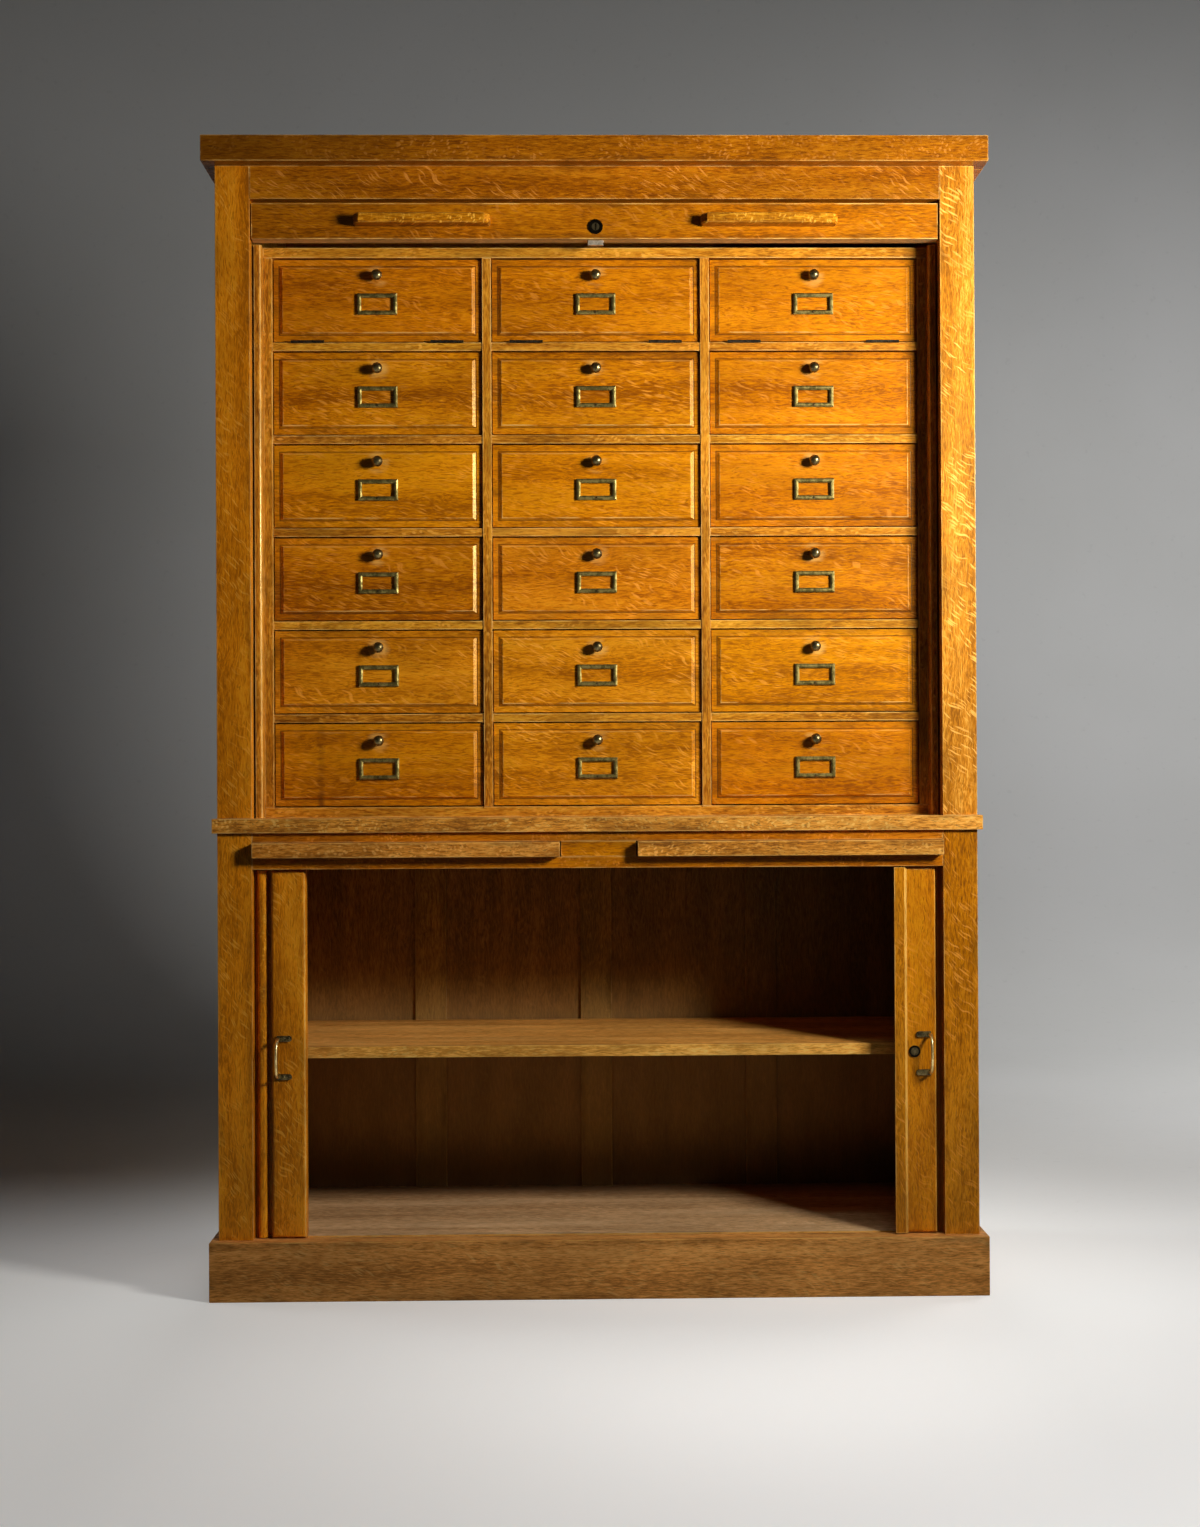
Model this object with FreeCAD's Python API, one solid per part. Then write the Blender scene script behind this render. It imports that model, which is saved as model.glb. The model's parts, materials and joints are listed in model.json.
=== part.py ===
import FreeCAD, Part
import math
import os

# Oak office cabinet with tambour shutters, in millimetres, +Z up, front facing -Y.
# The origin is under the middle of the plinth. Depths written as "d" are measured
# backwards from the front face of the stiles.

# Driving dimensions: the compartments
COLUMNS = 3
ROWS = 6
BAY_WIDTH = 367.0        # clear width of a compartment
BAY_HEIGHT = 148.0       # clear height of a compartment
DIVIDER = 16.0           # upright boards of the nest
NEST_SHELF = 15.0        # shelves between the rows
NEST_BOARD = 18.0        # base and top board of the nest
SILL_REBATE = 3.0        # in the base under the lowest flaps, so that they fall level

# Driving dimensions: the case, from the floor up
PLINTH_H = 102.0
LOWER_H = 638.0          # height of the lower opening
APRON_H = 63.0
WAIST_H = 25.0
RAIL_H = 62.0            # lift rail of the upper shutter
RAIL_BELOW = 2.0         # between the nest and the raised lift rail
RAIL_ABOVE = 6.0         # between the raised lift rail and the frieze
FRIEZE_H = 58.0
CORNICE_H = 45.0

# Driving dimensions: widths and depths
CASE_DEPTH = 455.0       # stile face to back edge
STILE_W = 60.0
FRAME_T = 20.0
SIDE_T = 20.0
GUIDE_W = 14.5           # opening edge to the side of the nest
CORNICE_OUT = 20.0       # cornice overhang at the sides
CORNICE_FRONT = 25.0
PLINTH_OUT = 14.0
PLINTH_FRONT = 16.0
WAIST_OUT = 8.0

# Driving dimensions: boards and moving pieces
BOARD = 18.0
SHELF_Z = 407.0          # underside of the lower shelf
SHELF_T = 20.0
SLIDE_H = 26.0
SLIDE_LIP = 20.0         # slide edge in front of the apron
SLIDE_INNER = 67.0       # half distance between the writing slides
SLAT_T = 8.5
SHUTTER_PITCH = 20.0
DOOR_PITCH = 17.0
SLAT_HOUSED = 20.0       # slat ends of the shutter behind the stiles
SHUTTER_BEND = 35.0      # bend radius at the backs of the slats
DOOR_BEND = 30.0
FLAP_T = 16.0
FIELD_T = 3.2            # height of the raised field of a flap
RIM_SIDE = 10.5          # flap edge to its field at the sides
RIM_RAIL = 12.5          # the same at the top and the bottom
BEVEL_SIDE = 5.5
BEVEL_RAIL = 3.0
LEFT_STILE_W = 60.0
RIGHT_STILE_W = 56.5
LIP_W = 17.0             # astragal of the right leading stile in front of the left one
LIP_LAP = 5.5            # part of the astragal on its own stile
LIP_T = 5.5
LEFT_OPEN = 90.0         # opening edge to the leading edge of the open left door
RIGHT_OPEN = 68.0
STILE_TO_SLAT = 7.5      # left leading stile to its first slat

# Driving dimensions: depths of what stands behind the slats, and the backs
NEST_IN_D = 20.0         # slat backs to the dividers
SHELF_IN_D = 1.5         # dividers to the shelves of the nest
FLAP_IN_D = 5.2          # dividers to the rims of the flaps
BACK_RUN = 37.0          # slats behind the nest to the back edge
TOP_RUN = 28.0           # slats above the nest to the top
NEST_BACK_IN = 28.0      # slats behind the nest to the front of its back
FALSE_BACK_IN = 18.0
BACK_T = 23.0            # frames of the outer backs
BACK_RAIL = 70.0
PANEL_IN = 4.0           # panel behind the front of its frame
PANEL_T = 10.0
FALSE_BACK_T = 8.0
MUNTIN_W = 60.0
MUNTIN_T = 6.0
LINING_T = 10.0
TOP_T = 16.0             # top board inside the cornice
CANVAS = 0.8

# Clearances
RUN = 0.3                # sliding fits in wood
PIN_RUN = 0.05           # pins and plugs turning in their holes
FLAP_SIDE = 1.5
FLAP_BELOW = 2.0
FLAP_ABOVE = 2.0
SLAT_GAP = 0.6
FRAME_GAP = 1.5          # slat faces behind the frame

# Heights
Z_APRON = PLINTH_H + LOWER_H
Z_WAIST = Z_APRON + APRON_H
Z_UPPER = Z_WAIST + WAIST_H
Z_NEST = Z_UPPER + NEST_BOARD
ROW_PITCH = BAY_HEIGHT + NEST_SHELF
Z_NEST_TOP = Z_NEST + ROWS * ROW_PITCH - NEST_SHELF
Z_RAIL = Z_NEST_TOP + NEST_BOARD + RAIL_BELOW
Z_FRIEZE = Z_RAIL + RAIL_H + RAIL_ABOVE
Z_CORNICE = Z_FRIEZE + FRIEZE_H
HEIGHT = Z_CORNICE + CORNICE_H

# Widths
COLUMN_PITCH = BAY_WIDTH + DIVIDER
NEST_IN = (COLUMNS * COLUMN_PITCH - DIVIDER) / 2.0
NEST_OUT = NEST_IN + DIVIDER
OPENING = NEST_OUT + GUIDE_W
CASE = OPENING + STILE_W
CASE_IN = CASE - SIDE_T

# Depths
FRAME_Y = (CORNICE_FRONT - CASE_DEPTH) / 2.0
D_SLAT = FRAME_T + FRAME_GAP
D_SLAT_BACK = D_SLAT + SLAT_T
D_DIVIDER = D_SLAT_BACK + NEST_IN_D
D_NEST_SHELF = D_DIVIDER + SHELF_IN_D
D_FLAP = D_DIVIDER + FLAP_IN_D
D_BACK_RUN = CASE_DEPTH - BACK_RUN
D_NEST_BACK = D_BACK_RUN - NEST_BACK_IN
D_FALSE_BACK = D_BACK_RUN - FALSE_BACK_IN

# Travels
SHUTTER_TRAVEL = Z_RAIL - Z_UPPER - FLAP_BELOW
LEFT_EDGE = -OPENING + LEFT_OPEN
RIGHT_EDGE = OPENING - RIGHT_OPEN
DOOR_GAP = 0.5


def box(x0, x1, d0, d1, z0, z1):
    size = (x1 - x0, d1 - d0, z1 - z0)
    return Part.makeBox(*size, FreeCAD.Vector(x0, FRAME_Y + d0, z0))


def pair(x0, x1, d0, d1, z0, z1):
    """The same board on the right and on the left."""
    return [box(x0, x1, d0, d1, z0, z1), box(-x1, -x0, d0, d1, z0, z1)]


def rod_y(radius, x, z, d0, d1):
    start = FreeCAD.Vector(x, FRAME_Y + d0, z)
    return Part.makeCylinder(radius, d1 - d0, start, FreeCAD.Vector(0, 1, 0))


def rod_x(radius, x0, x1, d, z):
    start = FreeCAD.Vector(x0, FRAME_Y + d, z)
    return Part.makeCylinder(radius, x1 - x0, start, FreeCAD.Vector(1, 0, 0))


def save(node, solids):
    Part.makeCompound(solids).exportStep("parts/%s.step" % node)


def rounded_plate(half_x, d0, d1, z0, z1, radius):
    """A board with its four upright corners rounded."""
    plate = box(-half_x, half_x, d0, d1, z0, z1)
    corners = []
    for edge in plate.Edges:
        middle = edge.CenterOfMass
        if abs(middle.z - (z0 + z1) / 2.0) < 0.1:
            corners.append(edge)
    return plate.makeFillet(radius, corners)


class Track:
    """Centre line of a tambour at the slat backs: a bend, a run, a bend, a last run.

    Along the track u points away from the front, v points outwards."""

    def __init__(self, u0, u1, v_run, radius):
        self.u0 = u0
        self.u1 = u1
        self.v_run = v_run
        self.radius = radius
        self.arc = math.pi / 2.0 * radius
        self.run = u1 - u0 - 2.0 * radius

    def at(self, s):
        """Point and outward angle at the arc length s from the start of the bend."""
        r = self.radius
        if s < 0:
            return self.u0, self.v_run - r + s, 0.0
        if s < self.arc:
            a = s / r
            return self.u0 + r - r * math.cos(a), self.v_run - r + r * math.sin(a), a
        s -= self.arc
        if s < self.run:
            return self.u0 + r + s, self.v_run, math.pi / 2.0
        s -= self.run
        if s < self.arc:
            a = s / r
            u = self.u1 - r + r * math.sin(a)
            return u, self.v_run - r + r * math.cos(a), math.pi / 2.0 + a
        s -= self.arc
        return self.u1, self.v_run - r - s, math.pi

    def slat_outline(self, s, width):
        """Flat back on the track, rounded face outwards."""
        u, v, a = self.at(s)
        n = (-math.cos(a), math.sin(a))
        t = (math.sin(a), math.cos(a))

        def place(along, out):
            return u + t[0] * along + n[0] * out, v + t[1] * along + n[1] * out

        half = width / 2.0
        shoulder = SLAT_T * 0.55
        return [place(-half, 0), place(half, 0), place(half, shoulder),
                place(0, SLAT_T), place(-half, shoulder)]

    def canvas_outline(self, s0, s1):
        """Closed strip of canvas on the inner side of the slats."""
        count = max(2, int((s1 - s0) / 4.0))
        front = []
        back = []
        for i in range(count + 1):
            u, v, a = self.at(s0 + (s1 - s0) * i / count)
            front.append((u, v))
            back.append((u + math.cos(a) * CANVAS, v - math.sin(a) * CANVAS))
        return front + back[::-1]


def prism(points, sweep):
    """Solid swept from a closed outline of points."""
    wire = Part.makePolygon(points + points[:1])
    return Part.Face(wire).extrude(sweep)


def slat_solid(points, sweep):
    """Slat with a rounded face, from the five points of its outline."""
    a, b, c, crown, e = points
    arc = Part.Arc(c, crown, e).toShape()
    edges = [Part.makeLine(a, b), Part.makeLine(b, c), arc, Part.makeLine(e, a)]
    return Part.Face(Part.Wire(edges)).extrude(sweep)


def shutter_point(uv):
    return FreeCAD.Vector(-SHUTTER_HALF, FRAME_Y + uv[0], uv[1])


def door_point(uv, side):
    return FreeCAD.Vector(side * uv[1], FRAME_Y + uv[0], SLAT_FOOT)


# Tracks of the shutter and of the doors
SHUTTER_HALF = OPENING + SLAT_HOUSED
Z_TOP_RUN = HEIGHT - TOP_RUN
shutter_track = Track(D_SLAT_BACK, D_BACK_RUN, Z_TOP_RUN, SHUTTER_BEND)
Z_BEND = Z_TOP_RUN - SHUTTER_BEND
DOOR_RUN = CASE_IN - SLAT_T - 2.0
door_track = Track(D_SLAT_BACK, D_BACK_RUN, DOOR_RUN, DOOR_BEND)
DOOR_BEND_X = DOOR_RUN - DOOR_BEND
SLAT_FOOT = PLINTH_H - BOARD + RUN
SLAT_HEAD = Z_APRON + 10.0

os.makedirs("parts", exist_ok=True)

# Case: sides, front frame, mouldings and plinth
side_panels = pair(CASE_IN, CASE, FRAME_T, CASE_DEPTH, PLINTH_H, Z_WAIST)
side_panels += pair(CASE_IN, CASE, FRAME_T, CASE_DEPTH, Z_UPPER, Z_CORNICE)
save("side_panels", side_panels)

face_stiles = pair(OPENING, CASE, 0, FRAME_T, PLINTH_H, Z_WAIST)
face_stiles += pair(OPENING, CASE, 0, FRAME_T, Z_UPPER, Z_CORNICE)
save("face_stiles", face_stiles)

Z_DUST = Z_APRON + BOARD + 2.0
Z_SLIDE = Z_DUST + RUN
Z_SLIDE_TOP = Z_SLIDE + SLIDE_H
face_rails = [
    box(-OPENING, OPENING, 0, FRAME_T, Z_FRIEZE, Z_CORNICE),
    box(-OPENING, OPENING, 0, FRAME_T, Z_APRON, Z_DUST),
    box(-OPENING, OPENING, 0, FRAME_T, Z_SLIDE_TOP + RUN, Z_WAIST),
    box(-SLIDE_INNER + 2.0, SLIDE_INNER - 2.0, 0, FRAME_T, Z_DUST, Z_SLIDE_TOP + RUN),
]
save("face_rails", face_rails)

BOLT_HALF = 13.5
BOLT_THROW = 8.0
BOLT_HOUSED = 16.0       # part of the thrown bolt inside the rail
BOLT_D0 = 13.0
BOLT_D1 = 21.0
waist = box(-CASE - WAIST_OUT, CASE + WAIST_OUT, -WAIST_OUT, CASE_DEPTH, Z_WAIST, Z_UPPER)
keep = box(-BOLT_HALF - 2, BOLT_HALF + 2, BOLT_D0 - 2, BOLT_D1 + 2, Z_UPPER - 10, Z_UPPER)
save("waist_board", [waist.cut(keep)])

out = CASE + PLINTH_OUT
plinth = [box(-out, out, -PLINTH_FRONT, FRAME_T, 0, PLINTH_H)]
plinth += pair(CASE_IN, out, FRAME_T, CASE_DEPTH, 0, PLINTH_H)
plinth.append(box(-CASE_IN, CASE_IN, CASE_DEPTH - BACK_T, CASE_DEPTH, 0, PLINTH_H))
save("plinth", plinth)

out = CASE + CORNICE_OUT
cornice = [box(-out, out, -CORNICE_FRONT, FRAME_T, Z_CORNICE, HEIGHT)]
cornice += pair(CASE_IN, out, FRAME_T, CASE_DEPTH, Z_CORNICE, HEIGHT)
cornice.append(box(-CASE_IN, CASE_IN, FRAME_T, CASE_DEPTH, HEIGHT - TOP_T, HEIGHT))
save("cornice", cornice)


# Nest of compartments
def row_floor(row):
    """Top of the shelf under a row, rows counted from the top."""
    return Z_NEST + (ROWS - 1 - row) * ROW_PITCH


def column_left(column):
    return -NEST_IN + column * COLUMN_PITCH


PIVOT_R = 2.0
PIVOT_D = D_FLAP + 3.5
PIVOT_UP = FLAP_BELOW + 4.0
PIVOT_DEPTH = 6.0
uprights = []
for i in range(COLUMNS + 1):
    x0 = -NEST_OUT + i * COLUMN_PITCH
    upright = box(x0, x0 + DIVIDER, D_DIVIDER, D_NEST_BACK, Z_NEST, Z_NEST_TOP)
    for row in range(1, ROWS):
        z = row_floor(row) + PIVOT_UP
        if i > 0:
            hole = rod_x(PIVOT_R + PIN_RUN, x0, x0 + PIVOT_DEPTH + RUN, PIVOT_D, z)
            upright = upright.cut(hole)
        if i < COLUMNS:
            x1 = x0 + DIVIDER
            hole = rod_x(PIVOT_R + PIN_RUN, x1 - PIVOT_DEPTH - RUN, x1, PIVOT_D, z)
            upright = upright.cut(hole)
    uprights.append(upright)
save("nest_dividers", uprights)

base = box(-NEST_OUT, NEST_OUT, D_DIVIDER, D_NEST_BACK, Z_UPPER, Z_NEST)
for column in range(COLUMNS):
    x0 = column_left(column)
    x1 = x0 + BAY_WIDTH
    base = base.cut(box(x0, x1, D_DIVIDER, D_NEST_SHELF, Z_NEST - SILL_REBATE, Z_NEST))
shelves = [
    base,
    box(-NEST_OUT, NEST_OUT, D_DIVIDER, D_NEST_BACK, Z_NEST_TOP, Z_NEST_TOP + NEST_BOARD),
]
for column in range(COLUMNS):
    x0 = column_left(column)
    for row in range(ROWS - 1):
        z = row_floor(row)
        shelves.append(box(x0, x0 + BAY_WIDTH, D_NEST_SHELF, D_NEST_BACK, z - NEST_SHELF, z))
save("nest_shelves", shelves)


# Backs: nest back, panelled back of the lower case, outer backs of both cases
def framed_back(z0, z1):
    d0 = CASE_DEPTH - BACK_T
    rail = BACK_RAIL
    pieces = pair(CASE_IN - STILE_W, CASE_IN, d0, CASE_DEPTH, z0, z1)
    pieces.append(box(-STILE_W / 2, STILE_W / 2, d0, CASE_DEPTH, z0 + rail, z1 - rail))
    inner = CASE_IN - STILE_W
    pieces.append(box(-inner, inner, d0, CASE_DEPTH, z0, z0 + rail))
    pieces.append(box(-inner, inner, d0, CASE_DEPTH, z1 - rail, z1))
    pieces += pair(STILE_W / 2, inner, d0 + PANEL_IN, d0 + PANEL_IN + PANEL_T, z0 + rail, z1 - rail)
    return pieces


LINING_X = DOOR_RUN - 6.0
LINING_IN = LINING_X - LINING_T
NEST_BACK_TOP = Z_NEST_TOP + NEST_BOARD
back_panels = [
    box(-NEST_OUT, NEST_OUT, D_NEST_BACK, D_NEST_BACK + PANEL_T, Z_UPPER, NEST_BACK_TOP),
    box(-LINING_IN - 4, LINING_IN + 4, D_FALSE_BACK, D_FALSE_BACK + FALSE_BACK_T, PLINTH_H, Z_APRON),
]
panel_pitch = (2 * LINING_IN + MUNTIN_W) / 4.0
for i in (-1, 0, 1):
    x = i * panel_pitch
    d1 = D_FALSE_BACK
    muntin = box(x - MUNTIN_W / 2, x + MUNTIN_W / 2, d1 - MUNTIN_T, d1, PLINTH_H, Z_APRON)
    back_panels.append(muntin)
back_panels += framed_back(PLINTH_H, Z_WAIST)
back_panels += framed_back(Z_UPPER, HEIGHT - TOP_T)
save("back_panels", back_panels)

# Lower case: floor and dust board with the door tracks round them, base and shelf
plate = (DOOR_RUN - RUN, D_SLAT_BACK + RUN, D_BACK_RUN - RUN)
corner = DOOR_BEND - RUN
lower_shelves = [
    rounded_plate(*plate, PLINTH_H - BOARD, PLINTH_H, corner),
    rounded_plate(*plate, Z_APRON, Z_DUST, corner),
    box(-CASE_IN, CASE_IN, FRAME_T, CASE_DEPTH - BACK_T, PLINTH_H - 2 * BOARD, PLINTH_H - BOARD),
    box(-LINING_IN, LINING_IN, D_DIVIDER, D_FALSE_BACK - MUNTIN_T, SHELF_Z, SHELF_Z + SHELF_T),
]
save("lower_shelves", lower_shelves)

d0 = D_SLAT_BACK + DOOR_BEND + 2.0
d1 = D_FALSE_BACK
linings = pair(LINING_IN, LINING_X, d0, d1, PLINTH_H, Z_APRON)
linings += pair(LINING_IN - BOARD, LINING_IN, d0, d1 - MUNTIN_T, SHELF_Z - BOARD, SHELF_Z)
linings += pair(OPENING, CASE_IN, FRAME_T, d1, Z_DUST, Z_WAIST)
inner = SLIDE_INNER - RUN
linings.append(box(-inner, inner, FRAME_T, d1, Z_DUST, Z_WAIST))
save("inner_linings", linings)

# Upper tracks: side plates that carry the slat ends, and beads beside the nest
PLATE_X = OPENING + 2.0
tracks = []
for side in (-1, 1):
    x0 = min(side * PLATE_X, side * CASE_IN)
    x1 = max(side * PLATE_X, side * CASE_IN)
    plate = box(x0, x1, D_SLAT_BACK + RUN, D_BACK_RUN - RUN, Z_UPPER, Z_TOP_RUN - RUN)
    top_edges = []
    for edge in plate.Edges:
        middle = edge.CenterOfMass
        if abs(middle.z - Z_TOP_RUN + RUN) < 0.1 and abs(middle.x - (x0 + x1) / 2) < 0.1:
            top_edges.append(edge)
    tracks.append(plate.makeFillet(SHUTTER_BEND - RUN, top_edges))
BEAD_GAP = 1.5           # bead to the opening edge
BEAD_R = 7.0
bead_x = OPENING - BEAD_GAP
bead_d = D_SLAT_BACK + 1.0
for bead in pair(NEST_OUT, bead_x, bead_d, D_DIVIDER + 14.0, Z_UPPER, Z_NEST_TOP + NEST_BOARD):
    inner_edges = []
    for edge in bead.Edges:
        middle = edge.CenterOfMass
        if abs(middle.y - FRAME_Y - bead_d) < 0.1 and abs(abs(middle.x) - NEST_OUT) < 0.1:
            inner_edges.append(edge)
    tracks.append(bead.makeFillet(BEAD_R, inner_edges))
save("tambour_tracks", tracks)


# Tambours: slats on canvas, the drawn run near the front and the stored run behind
def shutter_slats(s0, s1):
    sweep = FreeCAD.Vector(2 * SHUTTER_HALF, 0, 0)
    cloth = FreeCAD.Vector(2 * OPENING - 4, 0, 0)
    shift = FreeCAD.Vector(SHUTTER_HALF - OPENING + 2, 0, 0)
    solids = []
    count = round((s1 - s0) / SHUTTER_PITCH)
    for i in range(count):
        s = s0 + (i + 0.5) * SHUTTER_PITCH
        outline = shutter_track.slat_outline(s, SHUTTER_PITCH - SLAT_GAP)
        solids.append(slat_solid([shutter_point(p) for p in outline], sweep))
    outline = shutter_track.canvas_outline(s0, s0 + count * SHUTTER_PITCH)
    solids.append(prism([shutter_point(p) + shift for p in outline], cloth))
    return solids


def door_slats(side, s0, s1):
    sweep = FreeCAD.Vector(0, 0, SLAT_HEAD - SLAT_FOOT)
    shift = FreeCAD.Vector(0, 0, PLINTH_H + 2 - SLAT_FOOT)
    cloth = FreeCAD.Vector(0, 0, LOWER_H - 4)
    solids = []
    count = round((s1 - s0) / DOOR_PITCH)
    for i in range(count):
        s = s0 + (i + 0.5) * DOOR_PITCH
        outline = door_track.slat_outline(s, DOOR_PITCH - SLAT_GAP)
        solids.append(slat_solid([door_point(p, side) for p in outline], sweep))
    outline = door_track.canvas_outline(s0, s0 + count * DOOR_PITCH)
    solids.append(prism([door_point(p, side) + shift for p in outline], cloth))
    return solids


shutter_start = Z_RAIL + RAIL_H - Z_BEND
shutter_drawn = shutter_start + 2 * SHUTTER_PITCH
shutter_count = math.ceil(SHUTTER_TRAVEL / SHUTTER_PITCH)
door_drawn = 3 * DOOR_PITCH
left_count = math.ceil(-LEFT_EDGE / DOOR_PITCH)
right_count = math.ceil(RIGHT_EDGE / DOOR_PITCH)
LEFT_OUTER = LEFT_EDGE - LEFT_STILE_W
RIGHT_OUTER = RIGHT_EDGE + RIGHT_STILE_W
FIRST_SLAT = LEFT_OUTER - STILE_TO_SLAT
left_start = -FIRST_SLAT + DOOR_PITCH - DOOR_BEND_X
right_start = RIGHT_OUTER - DOOR_BEND_X
drawn = shutter_slats(shutter_start, shutter_drawn)
drawn += door_slats(-1, left_start, left_start + door_drawn)
drawn += door_slats(1, right_start, right_start + door_drawn)
save("drawn_slats", drawn)

stored = shutter_slats(shutter_drawn, shutter_drawn + shutter_count * SHUTTER_PITCH)
s0 = left_start + door_drawn
stored += door_slats(-1, s0, s0 + left_count * DOOR_PITCH)
s0 = right_start + door_drawn
stored += door_slats(1, s0, s0 + right_count * DOOR_PITCH)
save("stored_slats", stored)

# Upper shutter: lift rail with two bar handles, lock plug and bolt
RAIL_D = 4.0
RAIL_SIDE = 2.0
LOCK_UP = 21.0
HANDLE_UP = 21.5
RAIL_HALF = OPENING - RAIL_SIDE
LOCK_R = 12.5
LOCK_Z = Z_RAIL + LOCK_UP
HANDLE_X = 300.0
HANDLE_W = 236.0
HANDLE_Z = Z_RAIL + HANDLE_UP
HANDLE_H = 18.0
HANDLE_OUT = 26.0
HANDLE_END = 10.0        # bevel across the ends of a handle
HANDLE_EDGE = 3.0        # chamfer along its edges
rail = box(-RAIL_HALF, RAIL_HALF, RAIL_D, D_SLAT_BACK, Z_RAIL, Z_RAIL + RAIL_H)
rail = rail.cut(rod_y(LOCK_R + PIN_RUN, 0, LOCK_Z, RAIL_D, RAIL_D + 6.0))
slot_half = BOLT_HALF + RUN
slot_top = Z_RAIL + BOLT_HOUSED + BOLT_THROW + 2.0
slot = box(-slot_half, slot_half, BOLT_D0 - RUN, BOLT_D1 + RUN, Z_RAIL, slot_top)
rail = rail.cut(slot)
lift_rail = [rail]
lift_rail += pair(RAIL_HALF, SHUTTER_HALF, D_SLAT, D_SLAT_BACK, Z_RAIL, Z_RAIL + RAIL_H)
for side in (-1, 1):
    x0 = side * HANDLE_X - HANDLE_W / 2
    x1 = x0 + HANDLE_W
    root = FRAME_Y + RAIL_D
    nose = root - HANDLE_OUT
    plan = [(x0, root), (x1, root), (x1, nose + HANDLE_END), (x1 - HANDLE_END, nose),
            (x0 + HANDLE_END, nose), (x0, nose + HANDLE_END)]
    handle = prism([FreeCAD.Vector(x, y, HANDLE_Z) for x, y in plan], FreeCAD.Vector(0, 0, HANDLE_H))
    long_edges = []
    for edge in handle.Edges:
        middle = edge.CenterOfMass
        if abs(middle.z - HANDLE_Z - HANDLE_H / 2) > 1.0 and middle.y < root - 0.1:
            long_edges.append(edge)
    lift_rail.append(handle.makeChamfer(HANDLE_EDGE, long_edges))
save("lift_rail", lift_rail)

plug = rod_y(LOCK_R, 0, LOCK_Z, RAIL_D - 2.0, RAIL_D + 6.0)
key_slot = box(-1.5, 1.5, RAIL_D - 2.0, RAIL_D + 3.0, LOCK_Z - 6.0, LOCK_Z + 6.0)
save("shutter_lock_plug", [plug.cut(key_slot)])

bolt = box(-BOLT_HALF, BOLT_HALF, BOLT_D0, BOLT_D1, Z_RAIL - BOLT_THROW, Z_RAIL + BOLT_HOUSED)
save("shutter_lock_bolt", [bolt])

# Lower doors: leading stiles with tongues, first slat of the left door, pulls
STILE_D = 8.0
STILE_D1 = D_SLAT_BACK + 2.0
DOOR_Z0 = PLINTH_H + 2.0
DOOR_Z1 = Z_APRON - 2.0
TONGUE_D0 = D_SLAT + RUN
EDGE_R = 6.0


def leading_stile(x0, x1, square_x):
    """Stile with its front edges rounded, except an upright one at square_x."""
    stile = box(x0, x1, STILE_D, STILE_D1, DOOR_Z0, DOOR_Z1)
    front = []
    for edge in stile.Edges:
        middle = edge.CenterOfMass
        if abs(middle.y - FRAME_Y - STILE_D) < 0.1 and abs(middle.x - square_x) > 0.1:
            front.append(edge)
    return stile.makeFillet(EDGE_R, front)


def tongues(x0, x1):
    foot = box(x0, x1, TONGUE_D0, D_SLAT_BACK, SLAT_FOOT, DOOR_Z0)
    head = box(x0, x1, TONGUE_D0, D_SLAT_BACK, DOOR_Z1, SLAT_HEAD)
    return [foot, head]


left_door = [leading_stile(LEFT_OUTER, LEFT_EDGE, RIGHT_EDGE)]
left_door += tongues(LEFT_OUTER, LEFT_EDGE)
middle = -FIRST_SLAT + DOOR_PITCH / 2.0 - DOOR_BEND_X
outline = door_track.slat_outline(middle, DOOR_PITCH - SLAT_GAP)
sweep = FreeCAD.Vector(0, 0, SLAT_HEAD - SLAT_FOOT)
first_slat = slat_solid([door_point(p, -1) for p in outline], sweep)
STAFF_D = 12.0           # rounded staff on the first slat, nearly level with the stile
STAFF_R = 7.0
x0 = FIRST_SLAT - DOOR_PITCH + SLAT_GAP / 2
x1 = FIRST_SLAT - SLAT_GAP / 2
staff = box(x0, x1, STAFF_D, D_SLAT_BACK, DOOR_Z0, DOOR_Z1)
front = []
for edge in staff.Edges:
    middle = edge.CenterOfMass
    if abs(middle.y - FRAME_Y - STAFF_D) < 0.1 and abs(middle.z - (DOOR_Z0 + DOOR_Z1) / 2) < 0.1:
        front.append(edge)
left_door.append(first_slat.fuse(staff.makeFillet(STAFF_R, front)).removeSplitter())
web = box(FIRST_SLAT - DOOR_PITCH, LEFT_OUTER, D_SLAT_BACK, D_SLAT_BACK + CANVAS, DOOR_Z0, DOOR_Z1)
left_door.append(web)
save("left_leading_stile", left_door)

right_door = [leading_stile(RIGHT_EDGE, RIGHT_OUTER, RIGHT_EDGE)]
LIP_RUN = 0.5            # astragal to the face of the left stile
lip_x = RIGHT_EDGE + LIP_LAP
lip = box(RIGHT_EDGE - LIP_W, lip_x, STILE_D - LIP_T, STILE_D, DOOR_Z0, DOOR_Z1)
lip = lip.cut(box(RIGHT_EDGE - LIP_W, RIGHT_EDGE, STILE_D - LIP_RUN, STILE_D, DOOR_Z0, DOOR_Z1))
front = []
for edge in lip.Edges:
    middle = edge.CenterOfMass
    if abs(middle.y - FRAME_Y - STILE_D + LIP_T) < 0.1 and abs(middle.x - lip_x) < 0.1:
        front.append(edge)
right_door.append(lip.makeChamfer(LIP_T - LIP_RUN, front))
right_door += tongues(RIGHT_EDGE + 4.0, RIGHT_OUTER)
save("right_leading_stile", right_door)

PULL_Z = 415.0
PULL_H = 76.0
PULL_IN = 12.5           # outer edge of the stile to the bar of the pull
PULL_OUT = 28.0
FOOT_L = 24.0
FOOT_H = 10.0


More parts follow.
